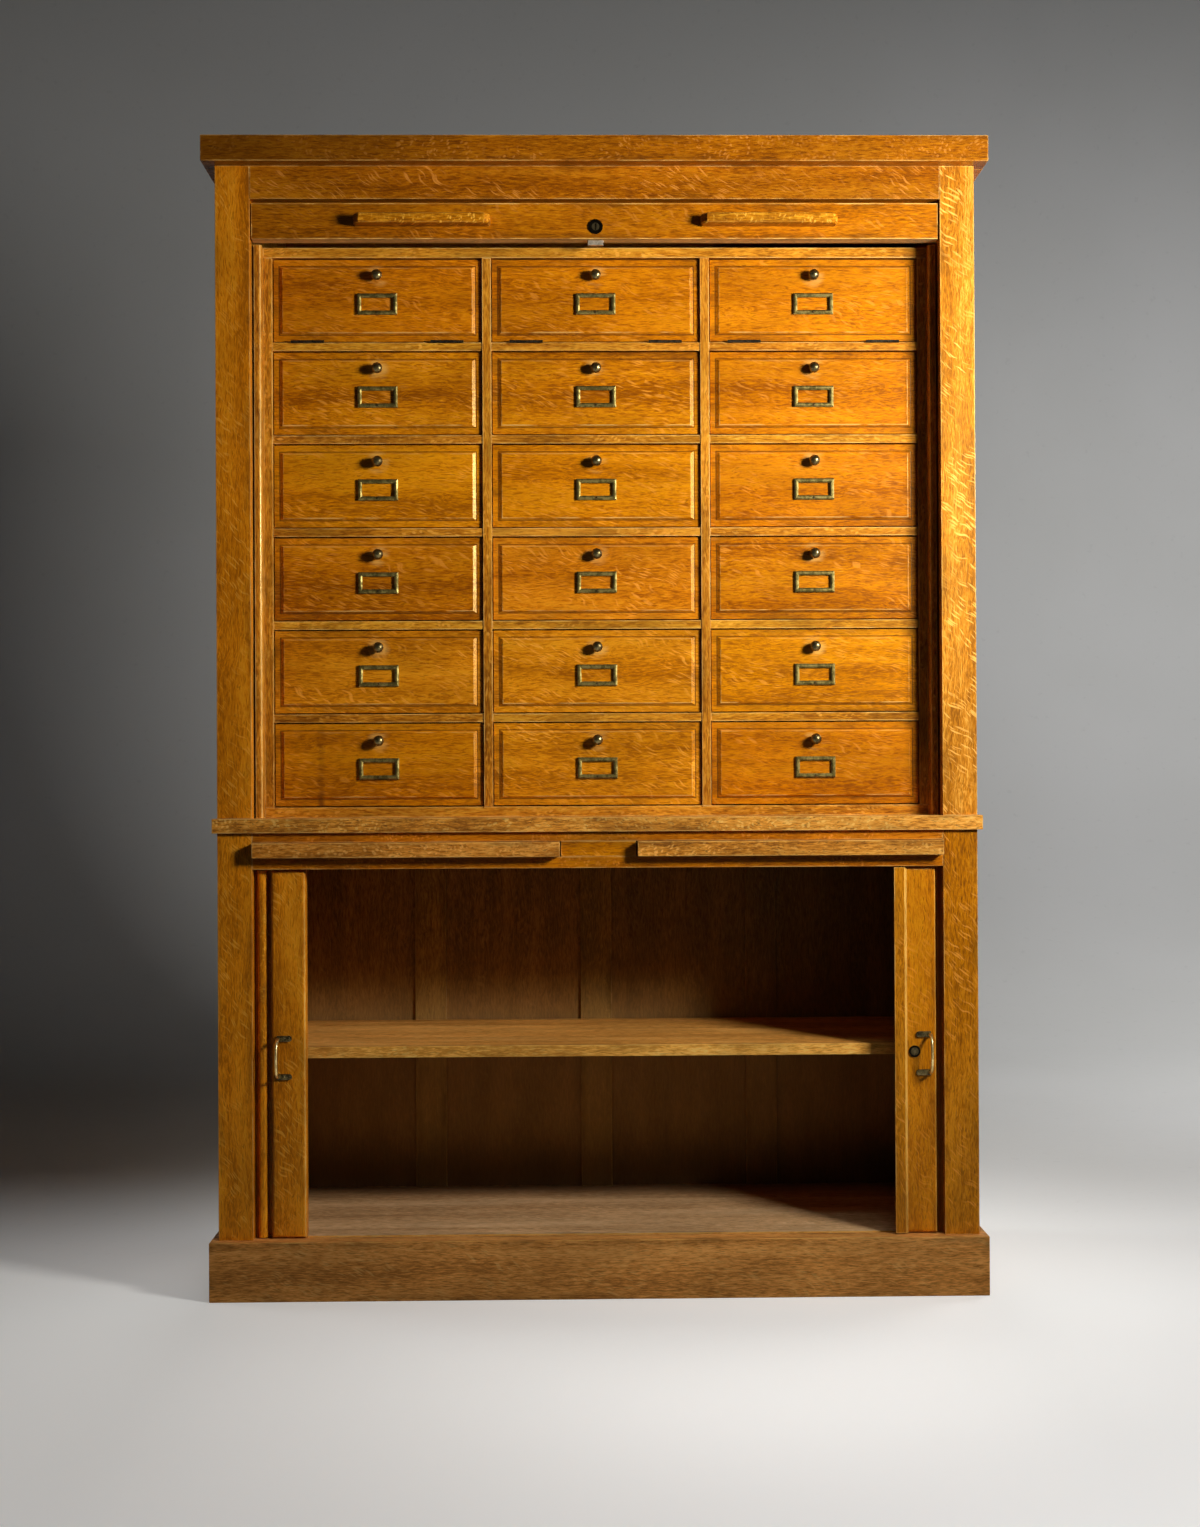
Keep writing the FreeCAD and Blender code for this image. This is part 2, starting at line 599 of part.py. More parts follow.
def pull(side, x_bar):
    """Bowed strap: two screwed feet towards the middle, a grip standing off the stile."""
    x_foot = x_bar - side * FOOT_L
    xs = sorted((x_bar + side * 2.5, x_foot))
    bar = sorted((x_bar + side * 2.5, x_bar - side * 2.5))
    low = PULL_Z - PULL_H / 2
    high = PULL_Z + PULL_H / 2
    solid = box(*bar, STILE_D - PULL_OUT, STILE_D - PULL_OUT + 6, low, high)
    for z in (low, high - FOOT_H):
        solid = solid.fuse(box(*bar, STILE_D - PULL_OUT, STILE_D, z, z + FOOT_H))
        foot = box(*xs, STILE_D - 3.5, STILE_D, z, z + FOOT_H)
        screw = rod_y(3.2, x_foot + side * 8, z + FOOT_H / 2, STILE_D - 4.5, STILE_D - 3.5)
        solid = solid.fuse(foot).fuse(screw)
    return solid.removeSplitter()


save("left_pull", [pull(-1, LEFT_OUTER + PULL_IN)])
right_pull = [pull(1, RIGHT_OUTER - PULL_IN)]
lock_x = RIGHT_EDGE + 18.0
lock_z = PULL_Z + 3.5
door_lock = rod_y(10.0, lock_x, lock_z, STILE_D - 2.0, STILE_D)
slot = box(lock_x - 1.2, lock_x + 1.2, STILE_D - 2, STILE_D - 1, lock_z - 4, lock_z + 4)
right_pull.append(door_lock.cut(slot))
save("right_pull", right_pull)

# Writing slides: a board with a thicker lip along its front
SLIDE_T = 20.0
SLIDE_DEPTH = 372.0
slide_outer = OPENING - 2.0
for side, name in ((-1, "left_writing_slide"), (1, "right_writing_slide")):
    xs = sorted((side * SLIDE_INNER, side * slide_outer))
    lip = box(*xs, -SLIDE_LIP, 8.0, Z_SLIDE, Z_SLIDE_TOP)
    leaf = box(*xs, 8.0, SLIDE_DEPTH, Z_SLIDE, Z_SLIDE + SLIDE_T)
    save(name, [lip, leaf])

# Flaps: fielded boards that fall forward, with a knob and a card frame each
FLAP_W = BAY_WIDTH - 2 * FLAP_SIDE
FLAP_H = BAY_HEIGHT - FLAP_BELOW - FLAP_ABOVE
FIELD_D = D_FLAP - FIELD_T
KNOB_R = 9.5
KNOB_OUT = 20.0
KNOB_DROP = 32.0
CARD_W = 70.0
CARD_H = 37.0
CARD_RIM = 7.5
CARD_T = 5.0
CARD_DROP = 81.0
HINGE_L = 58.0
HINGE_IN = 60.0
HINGE_R = 2.5
HINGE_PIN = 1.3
HINGE_D = D_NEST_SHELF - HINGE_R - 0.2
HINGE_LEAF = FLAP_BELOW / 2 - PIN_RUN
FIXED_KNUCKLE = 18.0


def flap_board(x0, z0):
    x1 = x0 + FLAP_W
    z1 = z0 + FLAP_H
    rim = box(x0, x1, D_FLAP, D_FLAP + FLAP_T, z0, z1)
    in_x = RIM_SIDE + BEVEL_SIDE
    in_z = RIM_RAIL + BEVEL_RAIL
    field = Part.makeWedge(
        x0 + in_x, FRAME_Y + FIELD_D, z0 + in_z, z0 + RIM_RAIL, x0 + RIM_SIDE,
        x1 - in_x, FRAME_Y + D_FLAP, z1 - in_z, z1 - RIM_RAIL, x1 - RIM_SIDE)
    return rim.fuse(field).removeSplitter()


def knob(x, z):
    ball = Part.makeSphere(KNOB_R, FreeCAD.Vector(x, FRAME_Y + FIELD_D - KNOB_OUT + KNOB_R, z))
    neck = rod_y(4.0, x, z, FIELD_D - KNOB_OUT + KNOB_R, FIELD_D)
    collar = rod_y(6.5, x, z, FIELD_D - 2.0, FIELD_D)
    return ball.fuse(neck).fuse(collar).removeSplitter()


def card_frame(x, z):
    d0 = FIELD_D - CARD_T
    w = CARD_W / 2
    h = CARD_H / 2
    frame = box(x - w, x + w, d0, FIELD_D, z - h, z + h)
    window = box(x - w + CARD_RIM, x + w - CARD_RIM, d0, FIELD_D, z - h + CARD_RIM, z + h - CARD_RIM)
    stud = rod_y(1.8, x, z - h + CARD_RIM / 2, d0 - 1.5, d0)
    return frame.cut(window).fuse(stud).removeSplitter()


def knuckle(x0, x1, z, bore):
    barrel = rod_x(HINGE_R, x0, x1, HINGE_D, z)
    return barrel.cut(rod_x(bore, x0, x1, HINGE_D, z))


def hinge_parts(x, floor):
    """Fixed leaf with its pin, and moving leaf, of a butt hinge centred at x."""
    z = floor + FLAP_BELOW / 2
    x0 = x - HINGE_L / 2
    x1 = x + HINGE_L / 2
    m0 = x0 + FIXED_KNUCKLE
    m1 = x1 - FIXED_KNUCKLE
    d1 = D_FLAP + FLAP_T - 2.0
    slot = rod_x(HINGE_R + 0.2, m0 - 0.2, m1 + 0.2, HINGE_D, z)
    leaf = box(x0, x1, HINGE_D + HINGE_PIN + 0.3, d1, floor, floor + HINGE_LEAF)
    fixed = leaf.cut(slot)
    pin = rod_x(HINGE_PIN, x0, x1, HINGE_D, z)
    fixed = fixed.fuse(pin)
    for a, b in ((x0, m0), (m1, x1)):
        fixed = fixed.fuse(rod_x(HINGE_R, a, b, HINGE_D, z))
    top = floor + FLAP_BELOW
    leaf = box(x0, x1, HINGE_D + HINGE_PIN + 0.3, d1, top - HINGE_LEAF, top)
    for a, b in ((x0, m0 + 0.2), (m1 - 0.2, x1)):
        leaf = leaf.cut(rod_x(HINGE_R + 0.2, a, b, HINGE_D, z))
    moving = leaf.fuse(knuckle(m0 + 0.2, m1 - 0.2, z, HINGE_PIN + PIN_RUN))
    return fixed.removeSplitter(), moving.removeSplitter()


fixed_hinges = []
for row in range(ROWS):
    for column in range(COLUMNS):
        x0 = column_left(column) + FLAP_SIDE
        floor = row_floor(row)
        z0 = floor + FLAP_BELOW
        middle = x0 + FLAP_W / 2
        board = flap_board(x0, z0)
        fittings = [knob(middle, z0 + FLAP_H - KNOB_DROP + 2.0)]
        fittings.append(card_frame(middle, z0 + FLAP_H - CARD_DROP + 2.0))
        if row == 0:
            for x in (x0 + HINGE_IN, x0 + FLAP_W - HINGE_IN):
                fixed, moving = hinge_parts(x, floor)
                fixed_hinges.append(fixed)
                fittings.append(moving)
        else:
            z = floor + PIVOT_UP
            for side in (-1, 1):
                end = middle + side * FLAP_W / 2
                tip = end + side * (FLAP_SIDE + PIVOT_DEPTH)
                root = end - side * 14.0
                xs = sorted((root, tip))
                pin = rod_x(PIVOT_R, xs[0], xs[1], PIVOT_D, z)
                board = board.cut(pin)
                fittings.append(pin)
        label = "r%dc%d" % (row + 1, column + 1)
        save("flap_" + label, [board])
        save("fittings_" + label, fittings)
save("flap_hinges", fixed_hinges)
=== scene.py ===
import json
import math
import random

import bmesh
import bpy
from mathutils import Matrix, Vector

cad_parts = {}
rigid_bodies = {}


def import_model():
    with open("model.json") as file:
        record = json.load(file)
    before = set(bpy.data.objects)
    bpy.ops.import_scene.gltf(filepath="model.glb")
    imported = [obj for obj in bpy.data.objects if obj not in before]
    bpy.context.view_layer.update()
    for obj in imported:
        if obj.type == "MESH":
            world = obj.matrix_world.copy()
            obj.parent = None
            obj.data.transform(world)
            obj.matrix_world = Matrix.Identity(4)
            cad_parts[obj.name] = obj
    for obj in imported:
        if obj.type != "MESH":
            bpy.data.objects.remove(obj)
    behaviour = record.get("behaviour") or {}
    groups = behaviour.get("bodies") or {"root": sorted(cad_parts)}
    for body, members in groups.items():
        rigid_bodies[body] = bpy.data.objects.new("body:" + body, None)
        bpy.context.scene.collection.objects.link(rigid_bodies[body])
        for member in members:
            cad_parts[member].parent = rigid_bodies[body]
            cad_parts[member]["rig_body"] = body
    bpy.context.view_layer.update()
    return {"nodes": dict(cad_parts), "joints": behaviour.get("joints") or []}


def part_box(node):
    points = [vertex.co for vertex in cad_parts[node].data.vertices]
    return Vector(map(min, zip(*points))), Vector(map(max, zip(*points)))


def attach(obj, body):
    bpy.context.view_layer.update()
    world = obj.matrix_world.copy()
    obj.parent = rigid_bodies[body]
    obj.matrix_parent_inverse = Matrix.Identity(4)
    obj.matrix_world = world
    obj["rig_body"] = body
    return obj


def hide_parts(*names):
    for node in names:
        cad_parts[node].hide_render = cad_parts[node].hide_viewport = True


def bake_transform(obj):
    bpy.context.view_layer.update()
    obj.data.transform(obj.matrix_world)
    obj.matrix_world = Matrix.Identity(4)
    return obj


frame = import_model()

# Oak filing cabinet with tambour shutters, in metres, in the frame of the CAD model.
# Boards are made from the CAD solids, with rounded arrises and grain coordinates of their own.
# Knobs, card frames, strap pulls and the slats that close the openings are built here.

MM = 0.001
KNOB_DROP = 30.0 * MM  # from the top of a flap
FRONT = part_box("face_stiles")[0].y
JOINTS = {joint["name"]: joint for joint in frame["joints"]}


# Shaders

class Shader:
    """Adds and links the nodes of one material."""

    def __init__(self, name):
        self.material = bpy.data.materials.new(name)
        self.material.use_nodes = True
        self.tree = self.material.node_tree
        self.surface = self.tree.nodes["Principled BSDF"]

    def put(self, socket, value):
        if isinstance(value, bpy.types.NodeSocket):
            self.tree.links.new(value, socket)
        else:
            socket.default_value = value

    def attribute(self, name, output="Vector"):
        node = self.tree.nodes.new("ShaderNodeAttribute")
        node.attribute_name = name
        return node.outputs[output]

    def place(self):
        return self.tree.nodes.new("ShaderNodeTexCoord").outputs["Object"]

    def number(self, operation, a, b=0.0, c=0.0):
        node = self.tree.nodes.new("ShaderNodeMath")
        node.operation = operation
        for socket, value in zip(node.inputs, (a, b, c)):
            self.put(socket, value)
        return node.outputs[0]

    def times(self, *values):
        result = values[0]
        for value in values[1:]:
            result = self.number("MULTIPLY", result, value)
        return result

    def vector(self, operation, a, b):
        node = self.tree.nodes.new("ShaderNodeVectorMath")
        node.operation = operation
        self.put(node.inputs[0], a)
        self.put(node.inputs[1], b)
        return node.outputs[0]

    def axes(self, vector):
        node = self.tree.nodes.new("ShaderNodeSeparateXYZ")
        self.put(node.inputs[0], vector)
        return list(node.outputs)

    def join(self, x, y, z):
        node = self.tree.nodes.new("ShaderNodeCombineXYZ")
        for socket, value in zip(node.inputs, (x, y, z)):
            self.put(socket, value)
        return node.outputs[0]

    def turned(self, vector, angle):
        node = self.tree.nodes.new("ShaderNodeVectorRotate")
        node.rotation_type = "Z_AXIS"
        self.put(node.inputs["Vector"], vector)
        self.put(node.inputs["Angle"], angle)
        return node.outputs[0]

    def noise(self, vector, scale, detail=3.0, roughness=0.55):
        """Noise with its own scale along each axis, in cells per metre."""
        node = self.tree.nodes.new("ShaderNodeTexNoise")
        self.put(node.inputs["Vector"], self.vector("MULTIPLY", vector, scale))
        self.put(node.inputs["Scale"], 1.0)
        self.put(node.inputs["Detail"], detail)
        self.put(node.inputs["Roughness"], roughness)
        return node.outputs[0]

    def cells(self, vector, scale):
        """Distance to the nearest cell centre, and a random number per cell."""
        node = self.tree.nodes.new("ShaderNodeTexVoronoi")
        self.put(node.inputs["Vector"], self.vector("MULTIPLY", vector, scale))
        self.put(node.inputs["Scale"], 1.0)
        return node.outputs["Distance"], self.axes(node.outputs["Color"])[0]

    def length(self, a, b):
        """Length of the hypotenuse over a and b."""
        return self.number("SQRT", self.number("ADD", self.times(a, a), self.times(b, b)))

    def fade(self, value, low, high, to_low=0.0, to_high=1.0):
        """Smooth step from to_low at low to to_high at high."""
        node = self.tree.nodes.new("ShaderNodeMapRange")
        node.interpolation_type = "SMOOTHSTEP"
        for socket, setting in zip(node.inputs, (value, low, high, to_low, to_high)):
            self.put(socket, setting)
        return node.outputs[0]

    def mix(self, factor, a, b):
        node = self.tree.nodes.new("ShaderNodeMix")
        node.data_type = "RGBA"
        self.put(node.inputs[0], factor)
        for socket, colour in ((node.inputs[6], a), (node.inputs[7], b)):
            self.put(socket, colour if isinstance(colour, bpy.types.NodeSocket) else (*colour, 1.0))
        return node.outputs[2]

    def ramp(self, value, stops):
        node = self.tree.nodes.new("ShaderNodeValToRGB")
        elements = node.color_ramp.elements
        while len(elements) < len(stops):
            elements.new(0.5)
        for element, (position, colour) in zip(elements, stops):
            element.position = position
            element.color = (*colour, 1.0)
        self.put(node.inputs[0], value)
        return node.outputs[0]

    def tinted(self, colour, hue, value):
        node = self.tree.nodes.new("ShaderNodeHueSaturation")
        self.put(node.inputs["Hue"], hue)
        self.put(node.inputs["Value"], value)
        self.put(node.inputs["Color"], colour)
        return node.outputs[0]

    def bump(self, height, strength, distance):
        node = self.tree.nodes.new("ShaderNodeBump")
        self.put(node.inputs["Strength"], strength)
        self.put(node.inputs["Distance"], distance)
        self.put(node.inputs["Height"], height)
        self.put(self.surface.inputs["Normal"], node.outputs[0])

    def gaps(self):
        """Distances to the sides of a board: along, across and through it, from both ends."""
        return self.axes(self.attribute("low")), self.axes(self.attribute("high"))


# pale colour for wear on arrises and round knobs, which also paints highlights along arrises
WEAR_AND_HIGHLIGHT = (0.80, 0.46, 0.12)
# dark colour for edge grime and specks, and also painted shade in flap quirks, at the foot and head
# of upright boards and at the back of a floor
GRIME_AND_SHADE = (0.050, 0.017, 0.004)
# painted shade for the left end of a board
LEFT_END_SHADE = (0.03, 0.006, 0.0002)
# paler, greyer colour low on upright boards
LOW_PALE = (0.50, 0.31, 0.11)
DRIP = (0.10, 0.022, 0.004)
# painted shade for the recess round a lock disc
RECESS_SHADE = (0.012, 0.009, 0.005)
VARNISH_GLOSS = (1.0, 0.78, 0.30, 1.0)

# Cells of noise per metre along, across and through a board
DRIFT = (5.0, 16.0, 16.0)
RIPPLE = (18.0, 40.0, 40.0)
BANDS = (1.5, 24.0, 24.0)
STREAKS = (45.0, 330.0, 330.0)
FIBRES = (90.0, 900.0, 900.0)
PORES = (50.0, 460.0, 460.0)
RAYS = (40.0, 300.0, 150.0)
RAY_PATCHES = (8.0, 18.0, 18.0)
SPECKS = (150.0, 420.0, 420.0)
RUBBING = (20.0, 70.0, 70.0)
DIRT = (9.0, 34.0, 34.0)
BLOTCHES = (5.0, 12.0, 12.0)

# The same in all directions, for metal and the studio
TARNISH = (110.0, 110.0, 110.0)
PITS = (600.0, 600.0, 600.0)
CLOUDS = (0.6, 0.6, 0.6)
GRIT = (35.0, 35.0, 35.0)

# Distances from the edge of a board at which a mark is gone and is full
GRIME_REACH = (18.0 * MM, 1.0 * MM)
ARRIS_REACH = (2.4 * MM, 0.8 * MM)


def oak(name, dark, mid, light, fleck=0.5, tilt=0.35, wave=1.0, wear_and_highlight=0.6, grime=0.4,
        rough=0.30, spots=0.0, marks=None):
    """Varnished quarter-sawn oak: bands, streaks, pores, ray flecks, pale arrises with wear and
    painted highlights, and grime.

    fleck, wave, wear_and_highlight, grime and spots say how strong each is, tilt turns the flecks
    in radians, and marks paints what only one kind of board has, painted shade included.
    """
    s = Shader(name)
    grain = s.attribute("grain")
    board = s.attribute("board", "Fac")
    drift = s.noise(grain, DRIFT, 2.0)
    ripple = s.noise(grain, RIPPLE, 1.0)
    sway = s.number("MULTIPLY_ADD", drift, 0.03 * wave, -0.020 * wave)
    sway = s.number("MULTIPLY_ADD", ripple, 0.010 * wave, sway)
    wavy = s.vector("ADD", grain, s.join(0.0, sway, sway))
    bands = s.noise(wavy, BANDS, 3.0)
    streaks = s.noise(wavy, STREAKS, 4.0, 0.62)
    fibres = s.noise(wavy, FIBRES, 2.0)
    tone = s.number("MULTIPLY_ADD", bands, 0.32, s.times(streaks, 0.42))
    tone = s.number("MULTIPLY_ADD", fibres, 0.26, tone)
    colour = s.ramp(tone, ((0.41, dark), (0.50, mid), (0.59, light)))
    pores = s.fade(s.noise(wavy, PORES, 1.0), 0.58, 0.70)
    colour = s.mix(s.times(pores, 0.55), colour, tuple(0.7 * c for c in dark))

    # ray flecks, laid slantwise and following the grain
    bend = s.number("MULTIPLY_ADD", drift, 0.07, -0.035)
    bent = s.turned(s.vector("ADD", grain, s.join(0.0, bend, 0.0)), tilt)
    rays, chance = s.cells(bent, RAYS)
    patches = s.noise(grain, RAY_PATCHES, 2.0)
    flakes = s.times(s.fade(rays, 0.52, 0.26), s.fade(chance, 0.40, 0.56),
                     s.fade(patches, 0.38, 0.60))
    bright = tuple(min(1.0, 1.25 * c + 0.03) for c in light)
    colour = s.mix(s.times(flakes, fleck), colour, bright)
    if spots:
        specks = s.fade(s.noise(grain, SPECKS, 2.0), 0.60, 0.70)
        colour = s.mix(s.times(specks, spots), colour, GRIME_AND_SHADE)

    # wear with painted highlights, and dirt, by the distance from the nearest edge
    low, high = s.gaps()
    near = [s.number("MINIMUM", a, b) for a, b in zip(low, high)]
    edge = s.number("MAXIMUM", s.number("MINIMUM", near[0], near[1]),
                    s.number("MINIMUM", s.number("MAXIMUM", near[0], near[1]), near[2]))
    rub = s.fade(s.noise(grain, RUBBING, 3.0), 0.40, 0.62)
    if marks:
        colour = marks(s, colour, low, high, rub)
    dirt = s.fade(s.noise(grain, DIRT), 0.44, 0.66)
    colour = s.mix(s.times(s.fade(edge, *GRIME_REACH), dirt, grime), colour, GRIME_AND_SHADE)
    # pale arrises: wear, with painted highlights along them
    arris = s.times(s.fade(edge, *ARRIS_REACH), s.fade(rub, 0.0, 1.0, 0.25, 1.0), wear_and_highlight)
    colour = s.mix(arris, colour, WEAR_AND_HIGHLIGHT)

    # each board a little lighter or darker than the next
    blotch = s.noise(grain, BLOTCHES, 2.0)
    value = s.number("MULTIPLY_ADD", board, 0.16, s.fade(blotch, 0.3, 0.7, 0.80, 1.04))
    colour = s.tinted(colour, s.number("MULTIPLY_ADD", board, 0.010, 0.495), value)
    s.put(s.surface.inputs["Base Color"], colour)
    gloss = s.fade(streaks, 0.3, 0.7, rough + 0.08, rough - 0.06)
    s.put(s.surface.inputs["Roughness"], gloss)
    s.put(s.surface.inputs["Specular IOR Level"], 0.4)
    s.put(s.surface.inputs["Specular Tint"], VARNISH_GLOSS)
    s.bump(s.number("MULTIPLY_ADD", fibres, 0.5, streaks), 0.22, 0.0007)
    return s.material


def flap_marks(stain):
    """Painted shade with grime in the quirk round a flap's field, a pale ridge arris with wear and
    a painted highlight along the bottom, the ring behind the knob, pale with wear.

    stain is the place of a dark run of polish, from the left end of the flap, or 0 for none.
    """
    rim_side, rim_rail = 10.5 * MM, 12.5 * MM
    bevel_side, bevel_rail = 5.5 * MM, 3.0 * MM

    def paint(s, colour, low, high, rub):
        side = s.number("SUBTRACT", s.number("MINIMUM", low[0], high[0]), rim_side)
        rail = s.number("SUBTRACT", s.number("MINIMUM", low[1], high[1]), rim_rail)
        front = s.fade(low[2], 7.5 * MM, 5.5 * MM)
        field = s.number("MINIMUM", side, rail)
        # the dark line in the quirk is painted shade with grime
        quirk = s.number("ABSOLUTE", s.number("ADD", field, 0.8 * MM))
        colour = s.mix(s.times(s.fade(quirk, 1.5 * MM, 0.3 * MM), front, 0.75), colour, GRIME_AND_SHADE)
        ridge = s.number("MINIMUM", s.number("SUBTRACT", side, bevel_side),
                         s.number("SUBTRACT", rail, bevel_rail))
        # the ridge arris is wear with a painted highlight, stronger along the bottom
        painted_light_below = s.fade(low[1], 30.0 * MM, 12.0 * MM, 0.35, 0.9)
        arris = s.fade(s.number("ABSOLUTE", ridge), 1.5 * MM, 0.4 * MM)
        colour = s.mix(s.times(arris, front, rub, painted_light_below), colour, WEAR_AND_HIGHLIGHT)
        across = s.times(s.number("SUBTRACT", low[0], high[0]), 0.5)
        down = s.number("SUBTRACT", high[1], KNOB_DROP)
        reach = s.length(across, down)
        halo = s.times(s.fade(reach, 24.0 * MM, 10.0 * MM), rub, front, 0.55)
        colour = s.mix(halo, colour, WEAR_AND_HIGHLIGHT)
        if stain:
            wobble = s.number("MULTIPLY_ADD", rub, 3.0 * MM, stain)
            run = s.number("ABSOLUTE", s.number("SUBTRACT", low[0], wobble))
            thinner = s.fade(low[1], 4.0 * MM, 40.0 * MM, 1.0, 0.35)
            drip = s.times(s.fade(run, 9.0 * MM, 1.0 * MM), thinner, front, 0.7)
            colour = s.mix(drip, colour, DRIP)
        return colour

    return paint


def shaded_left_end(share, reach=0.62):
    """Painted shade: darker towards the left end of a board, where the light falls off, over a
    reach in metres.
    """
    def paint(s, colour, low, high, rub):
        return s.mix(s.fade(low[0], 0.0, reach, share, 0.0), colour, LEFT_END_SHADE)

    return paint


def paled_and_shaded_foot(s, colour, low, high, rub):
    """Paler and greyer low on an upright board, painted shade at its foot, and painted shade at its
    head if it stands on the right.
    """
    colour = s.mix(s.fade(low[0], 0.52, 0.26, 0.0, 0.5), colour, LOW_PALE)
    x = s.axes(s.place())[0]
    painted_shade_head = s.times(s.fade(high[0], 0.10, 0.42, 1.0, 0.0), s.fade(x, -0.35, 0.45, 0.0, 0.6))
    colour = s.mix(painted_shade_head, colour, GRIME_AND_SHADE)
    return s.mix(s.fade(low[0], 0.15, 0.02, 0.0, 0.8), colour, GRIME_AND_SHADE)


def shaded_back(s, colour, low, high, rub):
    """Painted shade towards the back of a floor."""
    return s.mix(s.fade(low[1], 0.20, 0.40, 0.0, 0.85), colour, GRIME_AND_SHADE)


def metal(name, bright, tarnish, rough, shade_from=0.0):
    """Cast or pressed metal with patches of tarnish; a disc gets painted shade of its recess
    outside shade_from.
    """
    s = Shader(name)
    place = s.place()
    patches = s.noise(place, TARNISH, 4.0, 0.6)
    specks = s.noise(place, PITS, 2.0)
    colour = s.mix(s.fade(patches, 0.38, 0.62), bright, tarnish)
    colour = s.mix(s.fade(specks, 0.62, 0.75, 0.0, 0.5), colour, tarnish)
    if shade_from:
        low, high = s.gaps()
        a, b = (s.times(s.number("SUBTRACT", low[i], high[i]), 0.5) for i in range(2))
        recess_shade = s.fade(s.length(a, b), shade_from, shade_from + 0.6 * MM)
        colour = s.mix(recess_shade, colour, RECESS_SHADE)
    s.put(s.surface.inputs["Base Color"], colour)
    s.put(s.surface.inputs["Metallic"], 1.0)
    s.put(s.surface.inputs["Roughness"], s.fade(patches, 0.3, 0.7, rough - 0.08, rough + 0.12))
    s.bump(s.number("MULTIPLY_ADD", specks, 0.5, patches), 0.15, 0.0005)
    return s.material


DARK = (0.30, 0.075, 0.0005)
MID = (0.56, 0.170, 0.001)
LIGHT = (0.70, 0.25, 0.004)
CASE_OAK = oak("oak_case", DARK, MID, LIGHT, fleck=0.55, tilt=0.75)
SIDE_OAK = oak("oak_side", DARK, MID, LIGHT, fleck=0.55, tilt=0.75, rough=0.50)
LOWER_SIDE_OAK = oak("oak_lower_side", (0.20, 0.052, 0.0005), (0.43, 0.130, 0.001),
                     (0.62, 0.22, 0.008), fleck=0.7, tilt=0.75, rough=0.50)
# painted light: paler copies of the case oak for the left stiles, making up for the light falling
# off towards the left
LEFT_LIT_OAK = oak("oak_left", (0.43, 0.126, 0.001), (0.73, 0.240, 0.004), (0.87, 0.345, 0.012),
               fleck=0.6, tilt=0.75)
LEFT_LOWER_LIT_OAK = oak("oak_left_lower", (0.445, 0.134, 0.001), (0.75, 0.252, 0.005),
                     (0.89, 0.36, 0.014), fleck=0.6, tilt=0.75)
STILE_OAK = oak("oak_stile", (0.28, 0.080, 0.003), (0.56, 0.185, 0.010), (0.80, 0.35, 0.05),
                fleck=0.9, tilt=0.9)
# painted shade: darker copies of the case oak for the frieze and cornice, high up where the lamp
# gives less light
TOP_SHADED_OAK = oak("oak_top", (0.20, 0.050, 0.0005), (0.41, 0.122, 0.001), (0.58, 0.21, 0.006),
              fleck=0.75, tilt=0.6, wave=0.6)
CORNICE_SHADED_OAK = oak("oak_cornice", (0.18, 0.044, 0.0005), (0.37, 0.108, 0.001), (0.52, 0.185, 0.006),
                  fleck=0.6, tilt=0.6, wave=0.6, marks=shaded_left_end(0.58))
RAIL_OAK = oak("oak_rail", (0.20, 0.048, 0.0005), (0.43, 0.115, 0.001), (0.60, 0.20, 0.004),
               fleck=0.4, tilt=0.5, wave=0.6, wear_and_highlight=0.9, marks=shaded_left_end(0.22))
# painted light: pale oak for the lift rail's undersides, which lie in shade
LIT_UNDERSIDE_OAK = oak("oak_underside_lit", (0.46, 0.27, 0.10), (0.66, 0.42, 0.17), (0.78, 0.54, 0.26),
              fleck=0.2, rough=0.6)
HANDLE_OAK = oak("oak_handle", (0.22, 0.064, 0.001), (0.53, 0.185, 0.002), (0.84, 0.39, 0.02),
                 fleck=0.9, tilt=0.9, wear_and_highlight=0.5, grime=0.3, rough=0.36, spots=0.15)
LOWER_OAK = oak("oak_lower", (0.21, 0.055, 0.0005), (0.47, 0.142, 0.001), (0.67, 0.24, 0.008),
                fleck=0.7, tilt=0.75)
DOOR_OAK = oak("oak_door", (0.33, 0.088, 0.0005), (0.60, 0.178, 0.002), (0.75, 0.27, 0.006),
               fleck=0.4, tilt=0.75)
# pale, glossy oak for the forward faces of the leading stiles: wear with a painted highlight
RUBBED_HIGHLIT_OAK = oak("oak_rubbed_highlit", (0.50, 0.19, 0.015), (0.74, 0.34, 0.045), (0.86, 0.48, 0.10),
                 fleck=0.2, rough=0.22)
# painted highlight: pale, glossy oak for the forward faces of the tambour beads
BEAD_HIGHLIGHT_OAK = oak("oak_bead", (0.56, 0.25, 0.04), (0.80, 0.42, 0.10), (0.90, 0.56, 0.20),
               fleck=0.1, wear_and_highlight=0.2, grime=0.2, rough=0.18)
FLAP_OAK = oak("oak_flap", DARK, MID, LIGHT,
               fleck=0.45, tilt=0.30, wear_and_highlight=0.35, marks=flap_marks(0.0))
PALE_FLAP_OAK = oak("oak_flap_pale", (0.34, 0.092, 0.001), (0.63, 0.205, 0.003),
                    (0.78, 0.30, 0.010),
                    fleck=0.6, tilt=0.45, wear_and_highlight=0.35, marks=flap_marks(0.0))
BROWN_FLAP_OAK = oak("oak_flap_brown", (0.25, 0.058, 0.0005), (0.49, 0.140, 0.001),
                     (0.66, 0.23, 0.004),
                     fleck=0.5, tilt=0.30, wear_and_highlight=0.35, marks=flap_marks(0.0))
